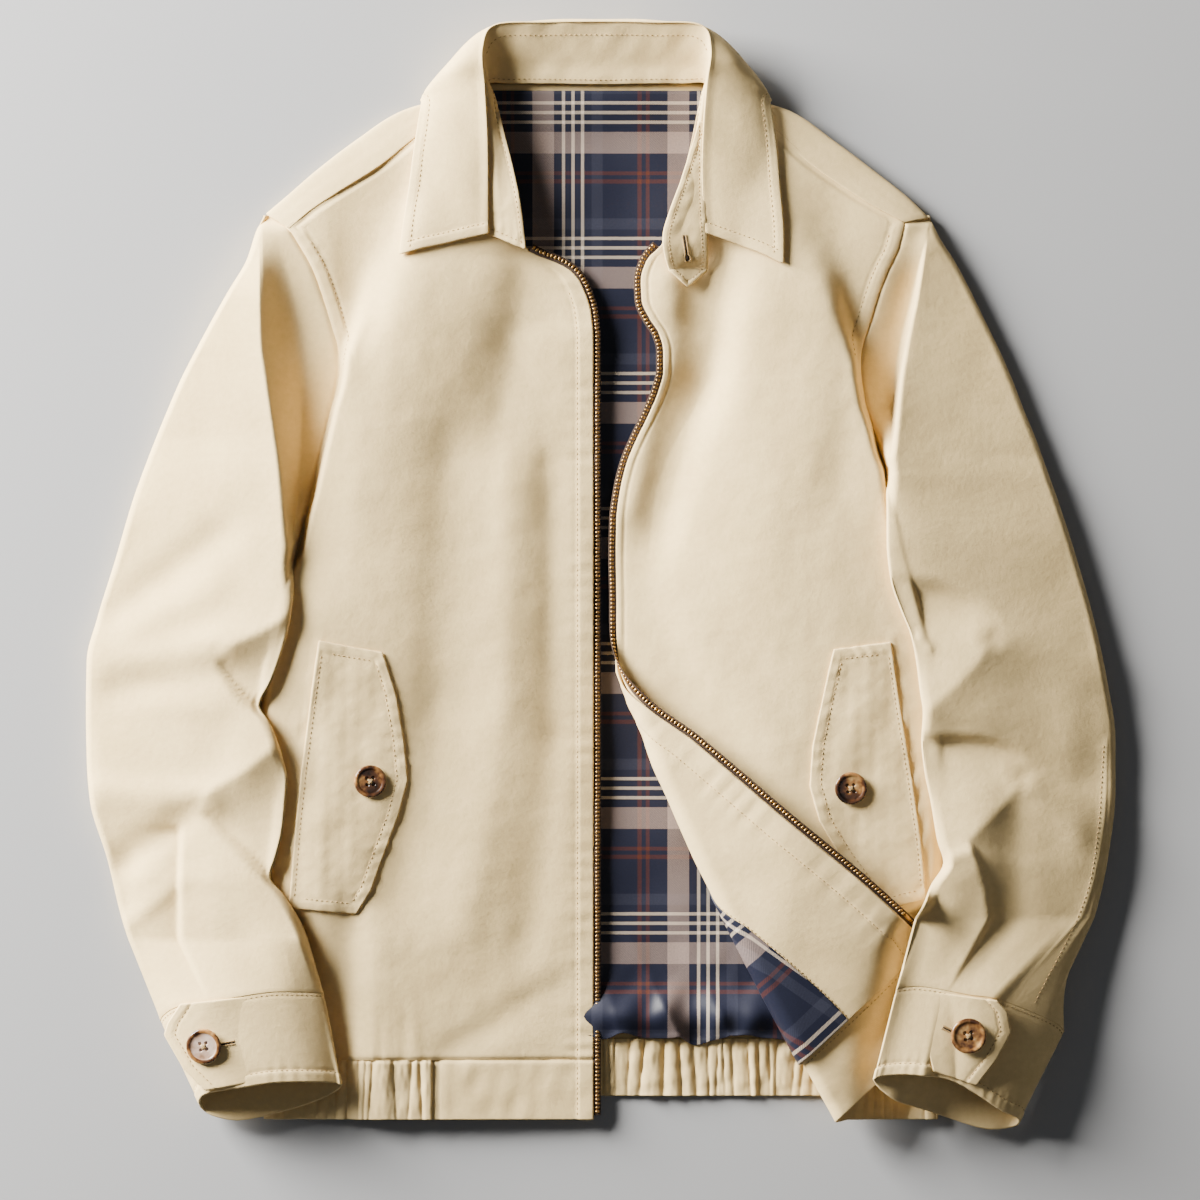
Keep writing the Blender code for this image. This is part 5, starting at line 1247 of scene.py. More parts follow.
def shoulder_seam(table):
    """Points of a shoulder seam from the shoulder point to the neck, as the fronts have it."""
    y = np.linspace(table[-1][1], table[0][1], SHOULDER_COUNT)
    z = np.interp(np.linspace(0, 1, SHOULDER_COUNT), np.linspace(0, 1, len(BACK_SEAM_Z)),
                  BACK_SEAM_Z)
    return np.stack([level(table, y), y, z], axis=1)


def back():
    """Back panel: flat on the surface, then over the shoulder edges to the shoulder seams."""
    shares = np.linspace(0.0, 1.0, SHOULDER_COUNT)
    floor_line = across_back(*[along([(*point, FLOOR) for point in line], shares)
                               for line in (BACK_FLOOR_RIGHT, BACK_FLOOR_LEFT)])
    edge_line = across_back(*[along([(*p, z) for p, z in zip(line, BACK_EDGE_Z)], shares)
                              for line in (BACK_EDGE_RIGHT, BACK_EDGE_LEFT)])
    seam_line = across_back(shoulder_seam(SHOULDER_RIGHT), shoulder_seam(SHOULDER_LEFT))
    rows = np.arange(HEM_BACK_TOP_Y, floor_line[0, 1] - 6.0, 8.0)[:, None]
    start, end = (np.where(rows < side[0][1], level(side, rows), level(armhole, rows))
                  for side, armhole in ((SIDE_RIGHT, BACK_ARMHOLE_RIGHT),
                                        (SIDE_LEFT, BACK_ARMHOLE_LEFT)))
    flat = grid_of(start + (end - start) * np.linspace(0.0, 1.0, len(floor_line)), rows, FLOOR)
    mid = (edge_line + seam_line) / 2 + (edge_line - floor_line) * (0.0, 0.0, 0.15)
    stations = np.stack([flat[-1], floor_line, edge_line, mid, seam_line])
    grid = np.concatenate([flat, by_station(stations, np.linspace(1, 4, 26))])
    away = run_lengths(grid, "top")
    shoulder = step_up((np.abs(grid[..., 0]) - 70.0) / 6.0)
    grid[..., 2] += 0.15 * shoulder * np.exp(-away / 10.0)
    turned_part = step_up((np.arange(len(grid))[:, None] - len(flat) - 3) / 3.0)
    ends = np.minimum(run_lengths(grid, "left"), run_lengths(grid, "right"))
    rise = (seam_relief(away, SEAM_STITCH, high=0.4) + pucker(away, grid[..., 0], SEAM_STITCH, 9)
            + seam_relief(ends, SEAM_STITCH, high=0.3, ditch=0.0) * turned_part)
    top, normals = cloth("back", grid, SHELL, TWILL, rise=rise)
    points, turned = at_distance(top, normals, "top", SEAM_STITCH)
    for keep in (points[:, 0] < -95.0, points[:, 0] > 95.0):
        sew("shoulder", points[keep], turned[keep])
    for edge in ("left", "right"):
        sew_edge("shoulder", (top[-18:], normals[-18:]), edge, SEAM_STITCH)


LINING_START = [(-118, -304), (-112, 180), (-84, 242), (-75, 281), (-71.5, 316)]
LINING_END = [(168, -304), (150, 180), (98, 242), (79, 281), (68.5, 316)]


def back_lining():
    """Plaid lining on the back: smooth above, gathered and puffed where it turns up at the hem."""
    low = HEM_BACK_TOP_Y + 6.0
    rows = np.concatenate([np.linspace(0.0, 0.10, 40), np.linspace(0.10, 1.0, 70)[1:]])[:, None]
    y = low + (FRONT_TOP_Y - low) * rows
    start, end = level(LINING_START, y), level(LINING_END, y)
    x = start + (end - start) * np.linspace(0.0, 1.0, 160)
    wave = (1.1 - 1.5 * np.abs(crumple(x + 0.5 * y, 0.3 * y, 44.0, 1.0, 61))
            + 0.5 * crumple(x - 0.3 * y, 0.35 * y, 17.0, 1.0, 62))
    up = y - low
    puff = 7.0 * bell((up - 13.0) / 13.0) + 2.3 * wave * np.exp(-np.maximum(up - 4.0, 0.0) / 26.0)
    puff = np.maximum(puff * step_up((88.0 - np.abs(x - 58.5)) / 30.0), -0.2)
    neck = 5.0 * step_up((y - 281) / (315 - 281))
    z = FLOOR + (SHELL + LINING) / 2 + GAP + puff + neck
    z = z + 1.6 * np.exp(-up / 3.0) + crumple(x, y, 60.0, 0.5, 63) + 0.5
    grid = grid_of(x, y + (1.2 * wave - 1.0) * np.exp(-up / 12.0) * 2.2, z)
    cloth("back_lining", grid, LINING, PLAID)


# ---------------------------------------------------------------- sleeves and cuffs

COLUMN_AT = np.array([0.0, 0.5, 1.0, 1.15, 1.32, 1.5, 1.67, 1.82, 1.93, 1.98, 2.0])
UNDER_AT = np.array([0.0, 0.05, 0.22, 0.5, 0.8, 1.0])
TOP_COLUMNS = np.interp(np.linspace(0, 10, 97), np.arange(11), COLUMN_AT)
UNDER_COLUMNS = np.interp(np.linspace(0, 5, 26)[1:], np.arange(6), UNDER_AT)
SLEEVE_SIDES = {
    "right": (SLEEVE_OUT_RIGHT, SLEEVE_IN_RIGHT, ARMHOLE_RIGHT, BACK_ARMHOLE_RIGHT, CREASE_RIGHT),
    "left": (SLEEVE_OUT_LEFT, SLEEVE_IN_LEFT, ARMHOLE_LEFT, BACK_ARMHOLE_LEFT, CREASE_LEFT),
}
SHOULDER_END = {
    "right": [(-202, 227), (-208.5, 232), (-216, 236.5)],
    "left": [(198, 231), (205, 232), (212, 234)],
}
CUFF_RIGHT = {
    # Round from the inner edge: over the top, the outer edge, and back underneath.
    "seam": [
        (-180, -270), (-195, -268.5), (-214.5, -268.5), (-244, -273), (-271.5, -277.5),
        (-283, -284), (-284.5, -289), (-273, -286.5), (-247, -283), (-214.5, -279), (-187, -275),
    ],
    "open": [
        (-168.5, -329), (-185, -326.5), (-211, -326.5), (-234, -330), (-253.5, -333.5),
        (-259.5, -338.5), (-258.5, -344.5), (-252, -349.5), (-234, -352.5), (-205, -346.5),
        (-179, -337.5),
    ],
    "z_seam": [19.0, 27.0, 31.0, 32.0, 27.0, 17.0, 9.0, 0.0, 0.0, 0.0, 4.0],
    "z_open": [15.0, 26.0, 31.0, 31.0, 27.0, 20.0, 12.0, 5.0, 2.0, 2.0, 6.0],
}
CUFF_LEFT = {
    "seam": [
        (192, -267), (205, -264.5), (221, -266.5), (239, -270), (256, -272.5), (279.5, -281.5),
        (297.5, -290.5), (300.5, -297), (283, -294.5), (250, -286.5), (214.5, -277.5),
    ],
    "open": [
        (177.5, -324.5), (192, -321), (211, -322), (227.5, -325), (244, -334), (260, -345),
        (271.5, -351), (268.5, -357), (250, -358), (221, -349), (192, -338.5),
    ],
    "z_seam": [19.0, 28.0, 31.0, 32.0, 31.0, 24.0, 15.0, 5.0, 4.0, 13.0, 6.0],
    "z_open": [15.0, 26.0, 31.0, 32.0, 30.0, 25.0, 17.0, 8.0, 2.0, 2.0, 6.0],
}
CUFFS = {"right": CUFF_RIGHT, "left": CUFF_LEFT}
TAB_THICK = 1.6
TAB_AIR = 0.45          # more than GAP, because tab and cuff bend differently
TAB_BALL = 45.0         # a tab bridges the hollows of its cuff as a ball of this radius would
SLEEVE_SEED = {"right": 11, "left": 12}
SLEEVE_START = {"right": 8.0, "left": 4.0}      # how far above the shoulder point rows start
SLEEVE_END_Y = {"right": -236.0, "left": -223.0}        # where they turn into the cuff's seam
CUFF_TABS = {           # plan of the pointed end and of the inner end
    "right": (
        [(-271, -277), (-279, -289), (-281.5, -296.5), (-269, -318), (-255, -331.5)],
        [(-222.5, -271.5), (-223.5, -283), (-225, -297.5), (-222.5, -314), (-219.5, -325)],
    ),
    "left": (
        [(256, -274.5), (262.5, -281.5), (265, -294.5), (255, -312.5), (243, -328)],
        [(213, -268.5), (212.5, -280), (212, -294.5), (213, -307.5), (216, -319)],
    ),
}


def sleeve_top(name, x, y, clear):
    """Height of a sleeve's top layer: low at the outer edge, rising to its ridge."""
    out, inner, armhole, _, crease = SLEEVE_SIDES[name]
    inward = FRONTS[name]["inward"]
    underarm, across_it = inner[0][1], x * inward
    outer = level(out, y) * inward
    ridge = np.where(y > underarm, level(crease, y) * inward, level(inner, y) * inward
                     - 1.6 - 22.4 * step_up((underarm - y) / 50.0))
    tilt = (ridge - across_it) / np.maximum(ridge - outer, 20.0)
    tilt = 0.5 * (tilt + np.sqrt(tilt ** 2 + 0.03 * step_up((underarm - y) / 40.0)))
    crest = level(SLEEVE_CREST[name], y)
    fall = np.minimum(SLEEVE_FALL * np.clip((ridge - outer) / 80.0, 0.3, 1.0),
                      np.maximum(crest - EDGE_Z - 2.0, 0.0))
    crest = (crest - fall * np.clip(tilt, 0.0, 1.05) + pockets(POCKETS[name], x, y)
             + folds(SOFT[name], x, y))
    z = EDGE_Z + (crest - EDGE_Z) * dome((across_it - outer) / ROUND_OUT)
    # Above the underarm the cloth falls from the crease into the valley at the armhole seam,
    # where it meets the front.
    seam = level(armhole, y)
    reach = np.maximum((seam - level(crease, y)) * inward + 2.0, ROUND_IN)
    valley = front_height(name, x, y)
    share = np.clip((seam - x) * inward / reach, 0.0, 1.0)
    crisp = step_up((238.0 - y) / 50.0)
    near = step_up((underarm + 45.0 - y) / 45.0)
    pressed = np.maximum((share - FLAT[name]) / (1 - FLAT[name]), 0.0) ** 1.4
    risen = step_up(share) * (1.0 - crisp) + pressed * crisp
    risen = risen + (dome(share) - risen) * near
    dip = DIP[name] * step_up(share / FLAT[name]) * crisp * (1.0 - risen) * (1.0 - near)
    above = valley - dip + (z - valley) * risen
    # Below it, the inner edge is rounded like the outer one, above what it lies on.
    lower = step_up((underarm - y) / 30.0)
    rest = valley + (clear + 5.0 - valley) * lower
    z_low = rest + (z - rest) * dome((level(inner, y) * inward - across_it) / ROUND_IN)
    z_low = over(z_low, rest - 0.5 - 2.0 * (1.0 - lower), 2.0 * lower)
    return np.where(y > underarm, above, z_low)


def sleeve(name):
    """A sleeve: rows across its top layer, round the outer edge and back underneath.

    Above the underarm a row runs from the front armhole seam to the back one; from the
    underarm down it closes into a ring.
    """
    out, inner, armhole, back_armhole, crease = SLEEVE_SIDES[name]
    inward = FRONTS[name]["inward"]
    top_y, underarm = armhole[0][1], inner[0][1]
    y = np.arange(top_y + SLEEVE_START[name], SLEEVE_END_Y[name] - 1.0, -2.8)[:, None]
    high = y > underarm + 0.01
    outer_x = level(out, y)
    hidden = step_up((y - underarm) / 20.0)
    start_x = np.where(high, level(armhole, y) + TUCK * hidden * inward, level(inner, y))
    start_x = np.where(y > top_y, level(SHOULDER_END[name], y) + inward, start_x)
    end_x = np.where(high, level(back_armhole, y), level(inner, y))
    crease_x = np.where(high, level(crease, y), start_x + (outer_x - start_x) * 0.13
                        * step_up((underarm + 8.0 - y) / 50.0))
    top_x = (start_x + (crease_x - start_x) * np.minimum(TOP_COLUMNS, 1.0)
             + (outer_x - crease_x) * np.maximum(TOP_COLUMNS - 1.0, 0.0))
    under_x = outer_x + (end_x - outer_x) * UNDER_COLUMNS
    # Top layer, with its pressed folds and with the seam it tucks under.
    top_z = sleeve_top(name, top_x, y, pile(name, top_x, y))
    inside = np.where(high, 1.0, step_up(np.abs(top_x - start_x) / 5.0) * 0.8 + 0.2)
    pressed = creases(PRESSED[name], top_x, y) * inside
    hand = cloth_unevenness(top_x, y, SLEEVE_SEED[name])
    top_z = top_z + (pressed + hand) * step_up(np.abs(top_x - outer_x) / 9.0)
    away, side, _, _ = nearest(along(armhole, np.linspace(0.0, 1.0, 60)), top_x, y)
    top_z = top_z + hidden * tucked(np.where(side * inward > 0, away, -away) + TUCK, 1.5)
    top_z = np.maximum(top_z - 5.0 * step_up((y - top_y + 1.0) / 5.0), FLOOR + 2.0)
    # Layer underneath, above the body where that reaches under it.
    clear = pile(name, under_x, y) * step_up((underarm + 2.0 - y) / 26.0)
    floor = np.maximum(over(FLOOR, clear + UNDER_MIDDLE, 1.0) - 0.5, FLOOR)
    low = floor + (EDGE_Z - floor) * (1.0 - dome(np.abs(under_x - outer_x) / 7.0))
    lift = (top_z[:, :1] - floor) * 0.5 * (1.0 - dome(np.abs(under_x - end_x) / 7.0))
    low = low + np.where(high, 0.0, lift)
    grid = grid_of(np.concatenate([top_x, under_x], axis=1), y,
                   np.concatenate([top_z, low], axis=1))
    seam = cuff_ring(name, "seam", ring_stations(name))
    blend = np.linspace(0.0, 1.0, 15)[1:, None, None]
    grid = np.concatenate([grid, grid[-1:] * (1 - blend) + seam * blend])
    first_ring = int(np.argmax(~high[:, 0]))
    grid[first_ring:, -1] = grid[first_ring:, -1] * 0.5 + grid[first_ring:, -2] * 0.5
    top, normals = cloth("sleeve_" + name, grid, SHELL, TWILL, ring_from=first_ring)
    sew("sleeve", *on_face(top, normals, SLEEVE_STITCH[name]))


SLEEVE_STITCH = {       # topstitch of the seam behind the elbow, where it shows
    "right": [(-333, -213), (-313.5, -249), (-295, -283)],
    "left": [(327.5, -107), (323.5, -164.5), (318.5, -197), (280, -280)],
}


def ring_stations(name):
    """Stations of a cuff's outline that the sleeve's columns meet."""
    half = len(CUFFS[name]["seam"]) / 2
    top = np.linspace(0.0, half, len(TOP_COLUMNS))
    return np.concatenate([top, half + half * UNDER_COLUMNS * 0.985])


def cuff_ring(name, key, stations):
    """Points of a cuff's closed outline; a station counts in the outline's table points."""
    table = CUFFS[name]
    points = [(*plan, z) for plan, z in zip(table[key], table["z_" + key])]
    ring = by_station(points[-2:] + points + points[:3], stations + 2.0)
    floor = np.maximum(pile(name, ring[:, 0], ring[:, 1]) + UNDER_MIDDLE, FLOOR)
    half = len(points) / 2
    top = np.clip(stations / half, 0.0, 1.0)
    to_inner = np.maximum(0.0, 1.0 - (2 * half - stations) / 0.9)
    open_up = np.where(top < 1.0, 5.5 + 3.0 * np.sin(math.pi * top), 1.5 * to_inner)
    ring[:, 2] = over(ring[:, 2], floor + open_up, 1.0)
    return ring


def cuff_grid(name, stations, shares):
    """Middle points of a cuff band, from its seam outline to its open end."""
    seam, opening = (cuff_ring(name, key, stations) for key in ("seam", "open"))
    return np.stack([seam + (opening - seam) * share for share in shares])


def cuff(name):
    """An open cuff band between its seam outline and its open end."""
    stations = ring_stations(name)
    grid = cuff_grid(name, stations, across(np.zeros(1), np.full(1, 56.0), 16) / 56.0)
    outside, seam = run_lengths(grid, "top"), run_lengths(grid, "bottom")
    rise = (seam_relief(outside, 7.0, ditch=0.0) + seam_relief(seam, 2.2, high=0.2, ditch=0.8)
            + pucker(outside, stations * 30.0, 7.0, 15, 0.2, 8.0))
    face = cloth("cuff_" + name, grid, SHELL, TWILL, ring_from=0, rise=rise)
    sew_edge("cuff", face, "top", 7.0)
    sew_edge("cuff", face, "bottom", WELT_STITCH)


def tab_height(name, x, y):
    """Height of the middle of a cuff's tab: a ball of radius TAB_BALL rolled over the cuff."""
    half = len(CUFFS[name]["seam"]) / 2
    below = cuff_grid(name, np.linspace(0.0, half, 60), np.linspace(0.0, 1.0, 20)).reshape(-1, 3)
    away = (x[..., None] - below[:, 0]) ** 2 + (y[..., None] - below[:, 1]) ** 2
    rolled = np.max(below[:, 2] - away / (2.0 * TAB_BALL), axis=-1)
    return rolled + SHELL / 2 + TAB_AIR + TAB_THICK / 2


def straight(rail, count):
    """Points along the straight parts of a rail, at even distances."""
    rail = np.array(rail, float)
    at = run_of(rail)
    where = np.linspace(0.0, at[-1], count)
    return np.stack([np.interp(where, at, part) for part in rail.T], axis=1)


def cuff_tab(name):
    """The pointed end of a cuff, lapped over it; the button sits near its point.

    Towards its inner end it sinks into the cuff that it is one piece with.
    """
    plan, share = strip(*(straight(rail, 56) for rail in CUFF_TABS[name]), 45.0, 14)
    x, y = plan[..., 0], plan[..., 1]
    sunk = (TAB_THICK + TAB_AIR + 0.35) * step_up((share - 0.3) / 0.7)
    grid = grid_of(x, y, tab_height(name, x, y) - sunk)
    rise = seam_relief(run_lengths(grid, "left"), EDGE_STITCH, ditch=0.0, high=0.35)
    face = cloth("cuff_tab_" + name, grid, TAB_THICK, TWILL, rise=rise)
    sew_edge("cuff", face, "left", EDGE_STITCH)
    buttonhole("cuff_" + name, *face, *CUFF_HOLES[name], ball=0.0)


CUFF_HOLES = {"right": ((-251, -303.5), (-236.5, -301)), "left": ((232, -296.5), (221.5, -291))}


# ---------------------------------------------------------------- collar

COLLAR = [
    # Per station, a point and a height on the seam, the fold, three lines and the edge.
    ((-48, 213), 15.0, (-73, 223.5), 20.0, (-87, 220.5), 19.0, (-101.5, 217), 17.0, (-115.5, 214),
     15.0, (-129.5, 210), 14.0),
    ((-51.5, 242), 14.0, (-73, 245), 22.0, (-86.5, 242), 21.0, (-100, 238), 19.0, (-114, 234),
     17.0, (-127, 229.5), 15.0),
    ((-57, 268), 13.0, (-73, 268), 23.0, (-86, 264), 22.0, (-99, 260), 20.0, (-112, 256), 17.0,
     (-123.5, 252), 15.0),
    ((-63, 290.5), 12.0, (-73.5, 292), 25.0, (-86, 288.5), 23.0, (-98, 285.5), 21.0,
     (-110.5, 282), 18.0, (-120, 279), 14.0),
    ((-68, 311.5), 10.5, (-75, 319), 26.0, (-86, 315), 24.0, (-97.5, 312), 21.0, (-108, 309.5),
     17.0, (-115.5, 307), 12.0),
    ((-72, 320.5), 9.0, (-76, 342.5), 27.0, (-88.5, 336), 24.0, (-99.5, 328), 19.0, (-112, 318),
     12.0, (-114, 309.5), 5.5),
    ((-57, 320.5), 6.8, (-68, 357.5), 25.0, (-77.5, 353), 18.0, (-87, 342.5), 10.5, (-96, 325.5),
     3.4, (-92.5, 308), 0.9),
    ((-36, 320.5), 6.6, (-36, 359.5), 23.0, (-36, 361), 14.0, (-36, 355.5), 5.0, (-36, 336), 0.7,
     (-36, 311.5), 0.6),
    ((0, 320), 6.6, (0, 360), 23.0, (0, 361.5), 14.0, (0, 356), 5.0, (0, 336), 0.7, (0, 311.5),
     0.6),
    ((34, 320.5), 6.6, (34, 359.5), 23.0, (34, 361), 14.0, (34, 355.5), 5.0, (34, 336), 0.7,
     (34, 311.5), 0.6),
    ((54, 320.5), 6.8, (65, 357.5), 25.0, (74, 353), 18.0, (84, 342.5), 10.5, (92.5, 325.5), 3.4,
     (88.5, 308), 0.9),
    ((68, 320.5), 9.0, (72, 342.5), 27.0, (85, 336), 24.0, (95.5, 328), 19.0, (107, 318), 12.0,
     (109, 309.5), 5.5),
    ((65.5, 311.5), 10.5, (69.5, 319), 26.0, (82, 315), 24.0, (93, 312), 21.0, (102.5, 310), 17.0,
     (110, 307.5), 12.0),
    ((60, 284), 12.0, (67.5, 294), 25.0, (80.5, 290), 23.0, (93, 286), 21.0, (104.5, 283), 18.0,
     (114, 279.5), 14.0),
    ((53.5, 258), 13.0, (66.5, 268), 23.0, (79.5, 263), 22.0, (92.5, 258.5), 20.0, (105.5, 254),
     17.0, (116.5, 250), 15.0),
    ((47, 237), 14.0, (67, 245), 22.0, (80.5, 240.5), 21.0, (94, 236), 19.0, (107, 231), 17.0,
     (118.5, 226), 15.0),
    ((41, 217), 15.0, (69, 224), 20.0, (82, 219.5), 19.0, (94, 215), 17.0, (106.5, 210), 15.0,
     (118.5, 204), 14.0),
]


def collar_rails():
    """The six lines along the collar: seam, fold, three and edge."""
    shares = np.linspace(0.0, len(COLLAR) - 1.0, 260)
    return [by_station([(*station[2 * rail], station[2 * rail + 1]) for station in COLLAR], shares)
            for rail in range(6)]


def lay_over_fronts(grid, air):
    """Heights of a collar grid, raised where it would cut into the fronts it lies on."""
    x, y, z = grid[..., 0], grid[..., 1], grid[..., 2]
    below = np.where(x < -2, front_height("right", x, y), front_height("left", x, y))
    floor = below + SHELL + GAP + air
    return z + (over(z, floor, 1.5) - z) * step_up((310 - y) / 10.0)


def wing_share(grid):
    """1 on a collar's wings, 0 round the back of the neck."""
    return step_up((WING_TOP_Y - grid[..., 1]) / 14.0)


WING_DROP = 2.5         # how much flatter the wings lie at their fold than COLLAR says
WING_TOP_Y = 336


def collar_leaf():
    """Leaf of the collar with its two wings, which lie on the fronts."""
    grid = by_station(np.stack(collar_rails()[1:]), np.linspace(0, 4, 34))
    grid[0, :, 2] += 0.7
    from_fold = run_lengths(grid, "bottom")
    wing = wing_share(grid)
    grid[..., 2] -= WING_DROP * wing * np.exp(-from_fold / 30.0)
    grid[..., 2] = lay_over_fronts(grid, 0.6) + 0.25
    grid[..., 2] += 0.5 * bell((from_fold - 2.0) / 2.0) * wing
    grid[..., 2] += crumple(grid[..., 0], grid[..., 1], 40.0, 0.35, 71)
    edges = ("top", "left", "right")
    rise = np.maximum.reduce([seam_relief(run_lengths(grid, edge), EDGE_STITCH, ditch=0.0)
                              for edge in edges])
    face = cloth("collar_leaf", grid, SHELL, TWILL, rise=rise)
    for edge in edges:
        sew_edge("collar", face, edge, EDGE_STITCH)


def collar_stand():
    """Stand of the collar, from the neckline seam up to the fold; its upper face's points."""
    seam, fold = collar_rails()[:2]
    share = np.linspace(0.02, 0.985, 20)[:, None]
    grid = seam + (fold - seam) * share[..., None]
    grid[..., 2] += 1.2 * (1 - share)
    grid[..., 2] = lay_over_fronts(grid, 0.4) * (1 - share) + grid[..., 2] * share
    wing = wing_share(grid)
    grid[..., 2] += wing * (3.2 * (1 - share) - WING_DROP * share
                            - 1.6 * step_up((share - 0.62) / 0.34))
    x, y = grid[..., 0].copy(), grid[..., 1].copy()
    grid[..., 2] += crumple(x, y, 22.0, 0.22, 72)
    from_end = run_lengths(grid, "left")
    rise = (seam_relief(run_lengths(grid, "bottom"), WELT_STITCH, high=0.25, ditch=0.6)
            + seam_relief(from_end, TAB_STITCH, high=0.3, ditch=0.0)
            + crumple(x, y, 9.0, 0.22, 73) * np.exp(-from_end / 24.0))
    face = cloth("collar_stand", grid, SHELL, TWILL, rise=rise)
    sew_edge("collar", face, "bottom", WELT_STITCH)
    sew_edge("collar", face, "left", TAB_STITCH)
    sew_edge("collar", face, "top", 8.0, low=WING_TOP_Y)
    return face[0]


TAB_NECK = [
    (64.5, 294.5), (60, 279), (52.5, 255.5), (45.5, 236), (41.5, 221.5), (43.5, 205),
    (45.5, 199.5),
]
TAB_WING = [
    (67.5, 294.5), (67.5, 277.5), (67.5, 255.5), (68, 236), (69, 221.5), (69.5, 205), (69, 199.5),
]
TAB_TIP = np.array([57, 189])
TAB_WALL = 1.3
THROAT_BALL = 30.0      # the tab bridges what it lies on as a ball of this radius would


def throat_tab(stand):
    """The collar's tab on the left front: one strip with the stand, down to its point.

    Its height is that of a ball of radius THROAT_BALL rolled over the stand and the front.
    """
    close = np.linspace(0.0, 1.0, 26)[1:, None]
    rails = [along(rail, np.linspace(0.0, 1.0, 90)) for rail in (TAB_NECK, TAB_WING)]
    rails = [np.concatenate([rail, rail[-1] + (TAB_TIP - rail[-1]) * close * 0.97])
             for rail in rails]
    plan, _ = strip(*rails, 26.0, 14)
    x, y = np.meshgrid(np.arange(28.0, 84.0, 1.5), np.arange(180.0, 240.0, 1.5))
    ground = grid_of(x, y, front_surface("left", x, y) + SHELL / 2).reshape(-1, 3)
    near = stand.reshape(-1, 3)
    below = np.concatenate([ground, near[(near[:, 0] > 20.0) & (near[:, 1] < 320.0)]])
    away = ((plan[..., None, :] - below[:, :2]) ** 2).sum(axis=-1)
    z = np.max(below[:, 2] - away / (2.0 * THROAT_BALL), axis=-1) + 0.2 + TAB_WALL / 2
    grid = grid_of(plan[..., 0], plan[..., 1], z)
    rise = np.maximum.reduce([seam_relief(run_lengths(grid, edge), TAB_STITCH, ditch=0.0, high=0.4)
                              for edge in ("left", "right")])
    rise = rise + crumple(plan[..., 0], plan[..., 1], 11.0, 0.16, 75)
    face = cloth("throat_tab", grid, TAB_WALL, TWILL, rise=rise)
    for edge in ("left", "right"):
        points, normals = at_distance(*face, edge, TAB_STITCH)
        keep = points[:, 1] > 193.0
        sew("collar", points[keep], normals[keep], 2.6, 1.9)
    buttonhole("throat", *face, (54.5, 221.5), (57, 205))


# ---------------------------------------------------------------- small pieces on the fronts

FLAP_WALL = 1.1
FLAP_RIGHT = (
    [(-181.5, -42), (-187, -80), (-193, -125.5), (-197, -164.5), (-201, -214)],
    [(-141.5, -49.5), (-133, -76.5), (-128, -106), (-125.5, -132), (-131.5, -154.5),
     (-140, -177.5), (-149.5, -203.5), (-158.5, -218)],
)
FLAP_LEFT = (
    [(152, -47.5), (146, -73.5), (138.5, -109), (136.5, -135), (143, -158), (154.5, -177.5),
     (169, -197), (184.5, -215)],
    [(188, -43), (194.5, -86.5), (202, -132), (207.5, -171), (211, -208.5)],
)


def pocket_flap(side, rails, welt):
    """A pocket flap lying on its front; its welted border (`welt`) is sewn in the side's seam."""
    plan, _ = strip(*(straight(rail, 110) for rail in rails), 50.0, 34)
    x, y = plan[..., 0], plan[..., 1]
    grid = grid_of(x, y, front_surface(side, x, y) + SHELL / 2 + 0.15 + FLAP_WALL / 2)
    bands = []
    for seed, edge in enumerate(("left", "right", "top", "bottom"), 17):
        stitch, high = (WELT_STITCH, 0.10) if edge == welt else (EDGE_STITCH, 0.24)
        away, run = run_lengths(grid, edge), x + y if seed > 18 else y
        bands.append(seam_relief(away, stitch, ditch=0.0, high=0.4)
                     + pucker(away, run, stitch, seed, high, 9.0))
    rise = np.maximum.reduce(bands) + crumple(x, y, 30.0, 0.32, 81) + crumple(x, y, 12.0, 0.08, 82)
    face = cloth("pocket_flap_" + side, grid, FLAP_WALL, TWILL, rise=rise)
    for edge in ("left", "right", "top", "bottom"):
        points, normals = at_distance(*face, edge, WELT_STITCH if edge == welt else EDGE_STITCH)
        skip = round(EDGE_STITCH / 50.0 * len(points)) if edge in ("top", "bottom") else 4
        sew("flaps", points[skip:-skip], normals[skip:-skip])


POCKET_BUTTONS = {"right": (-149, -132.5), "left": (162.5, -137)}
CUFF_BUTTONS = {"right": (-256, -303.5), "left": (238, -296.5)}


def slope_of(height, x, y, reach):
    """Slopes along X and Y of a height function, over `reach` mm each way."""
    sideways = height(x + reach, y) - height(x - reach, y)
    upward = height(x, y + reach) - height(x, y - reach)
    return float(sideways) / (2 * reach), float(upward) / (2 * reach)


BUTTON_PROFILE = [  # (radius as a share of the button's, height), from the rim's foot inwards
    (0.70, 0.0), (0.92, 0.35), (1.0, 1.1), (1.0, 1.9), (0.96, 2.5), (0.90, 2.8), (0.82, 2.75),
    (0.76, 2.45), (0.70, 2.1), (0.60, 1.95), (0.45, 1.9), (0.30, 1.9), (0.15, 1.9), (0.04, 1.9),
]


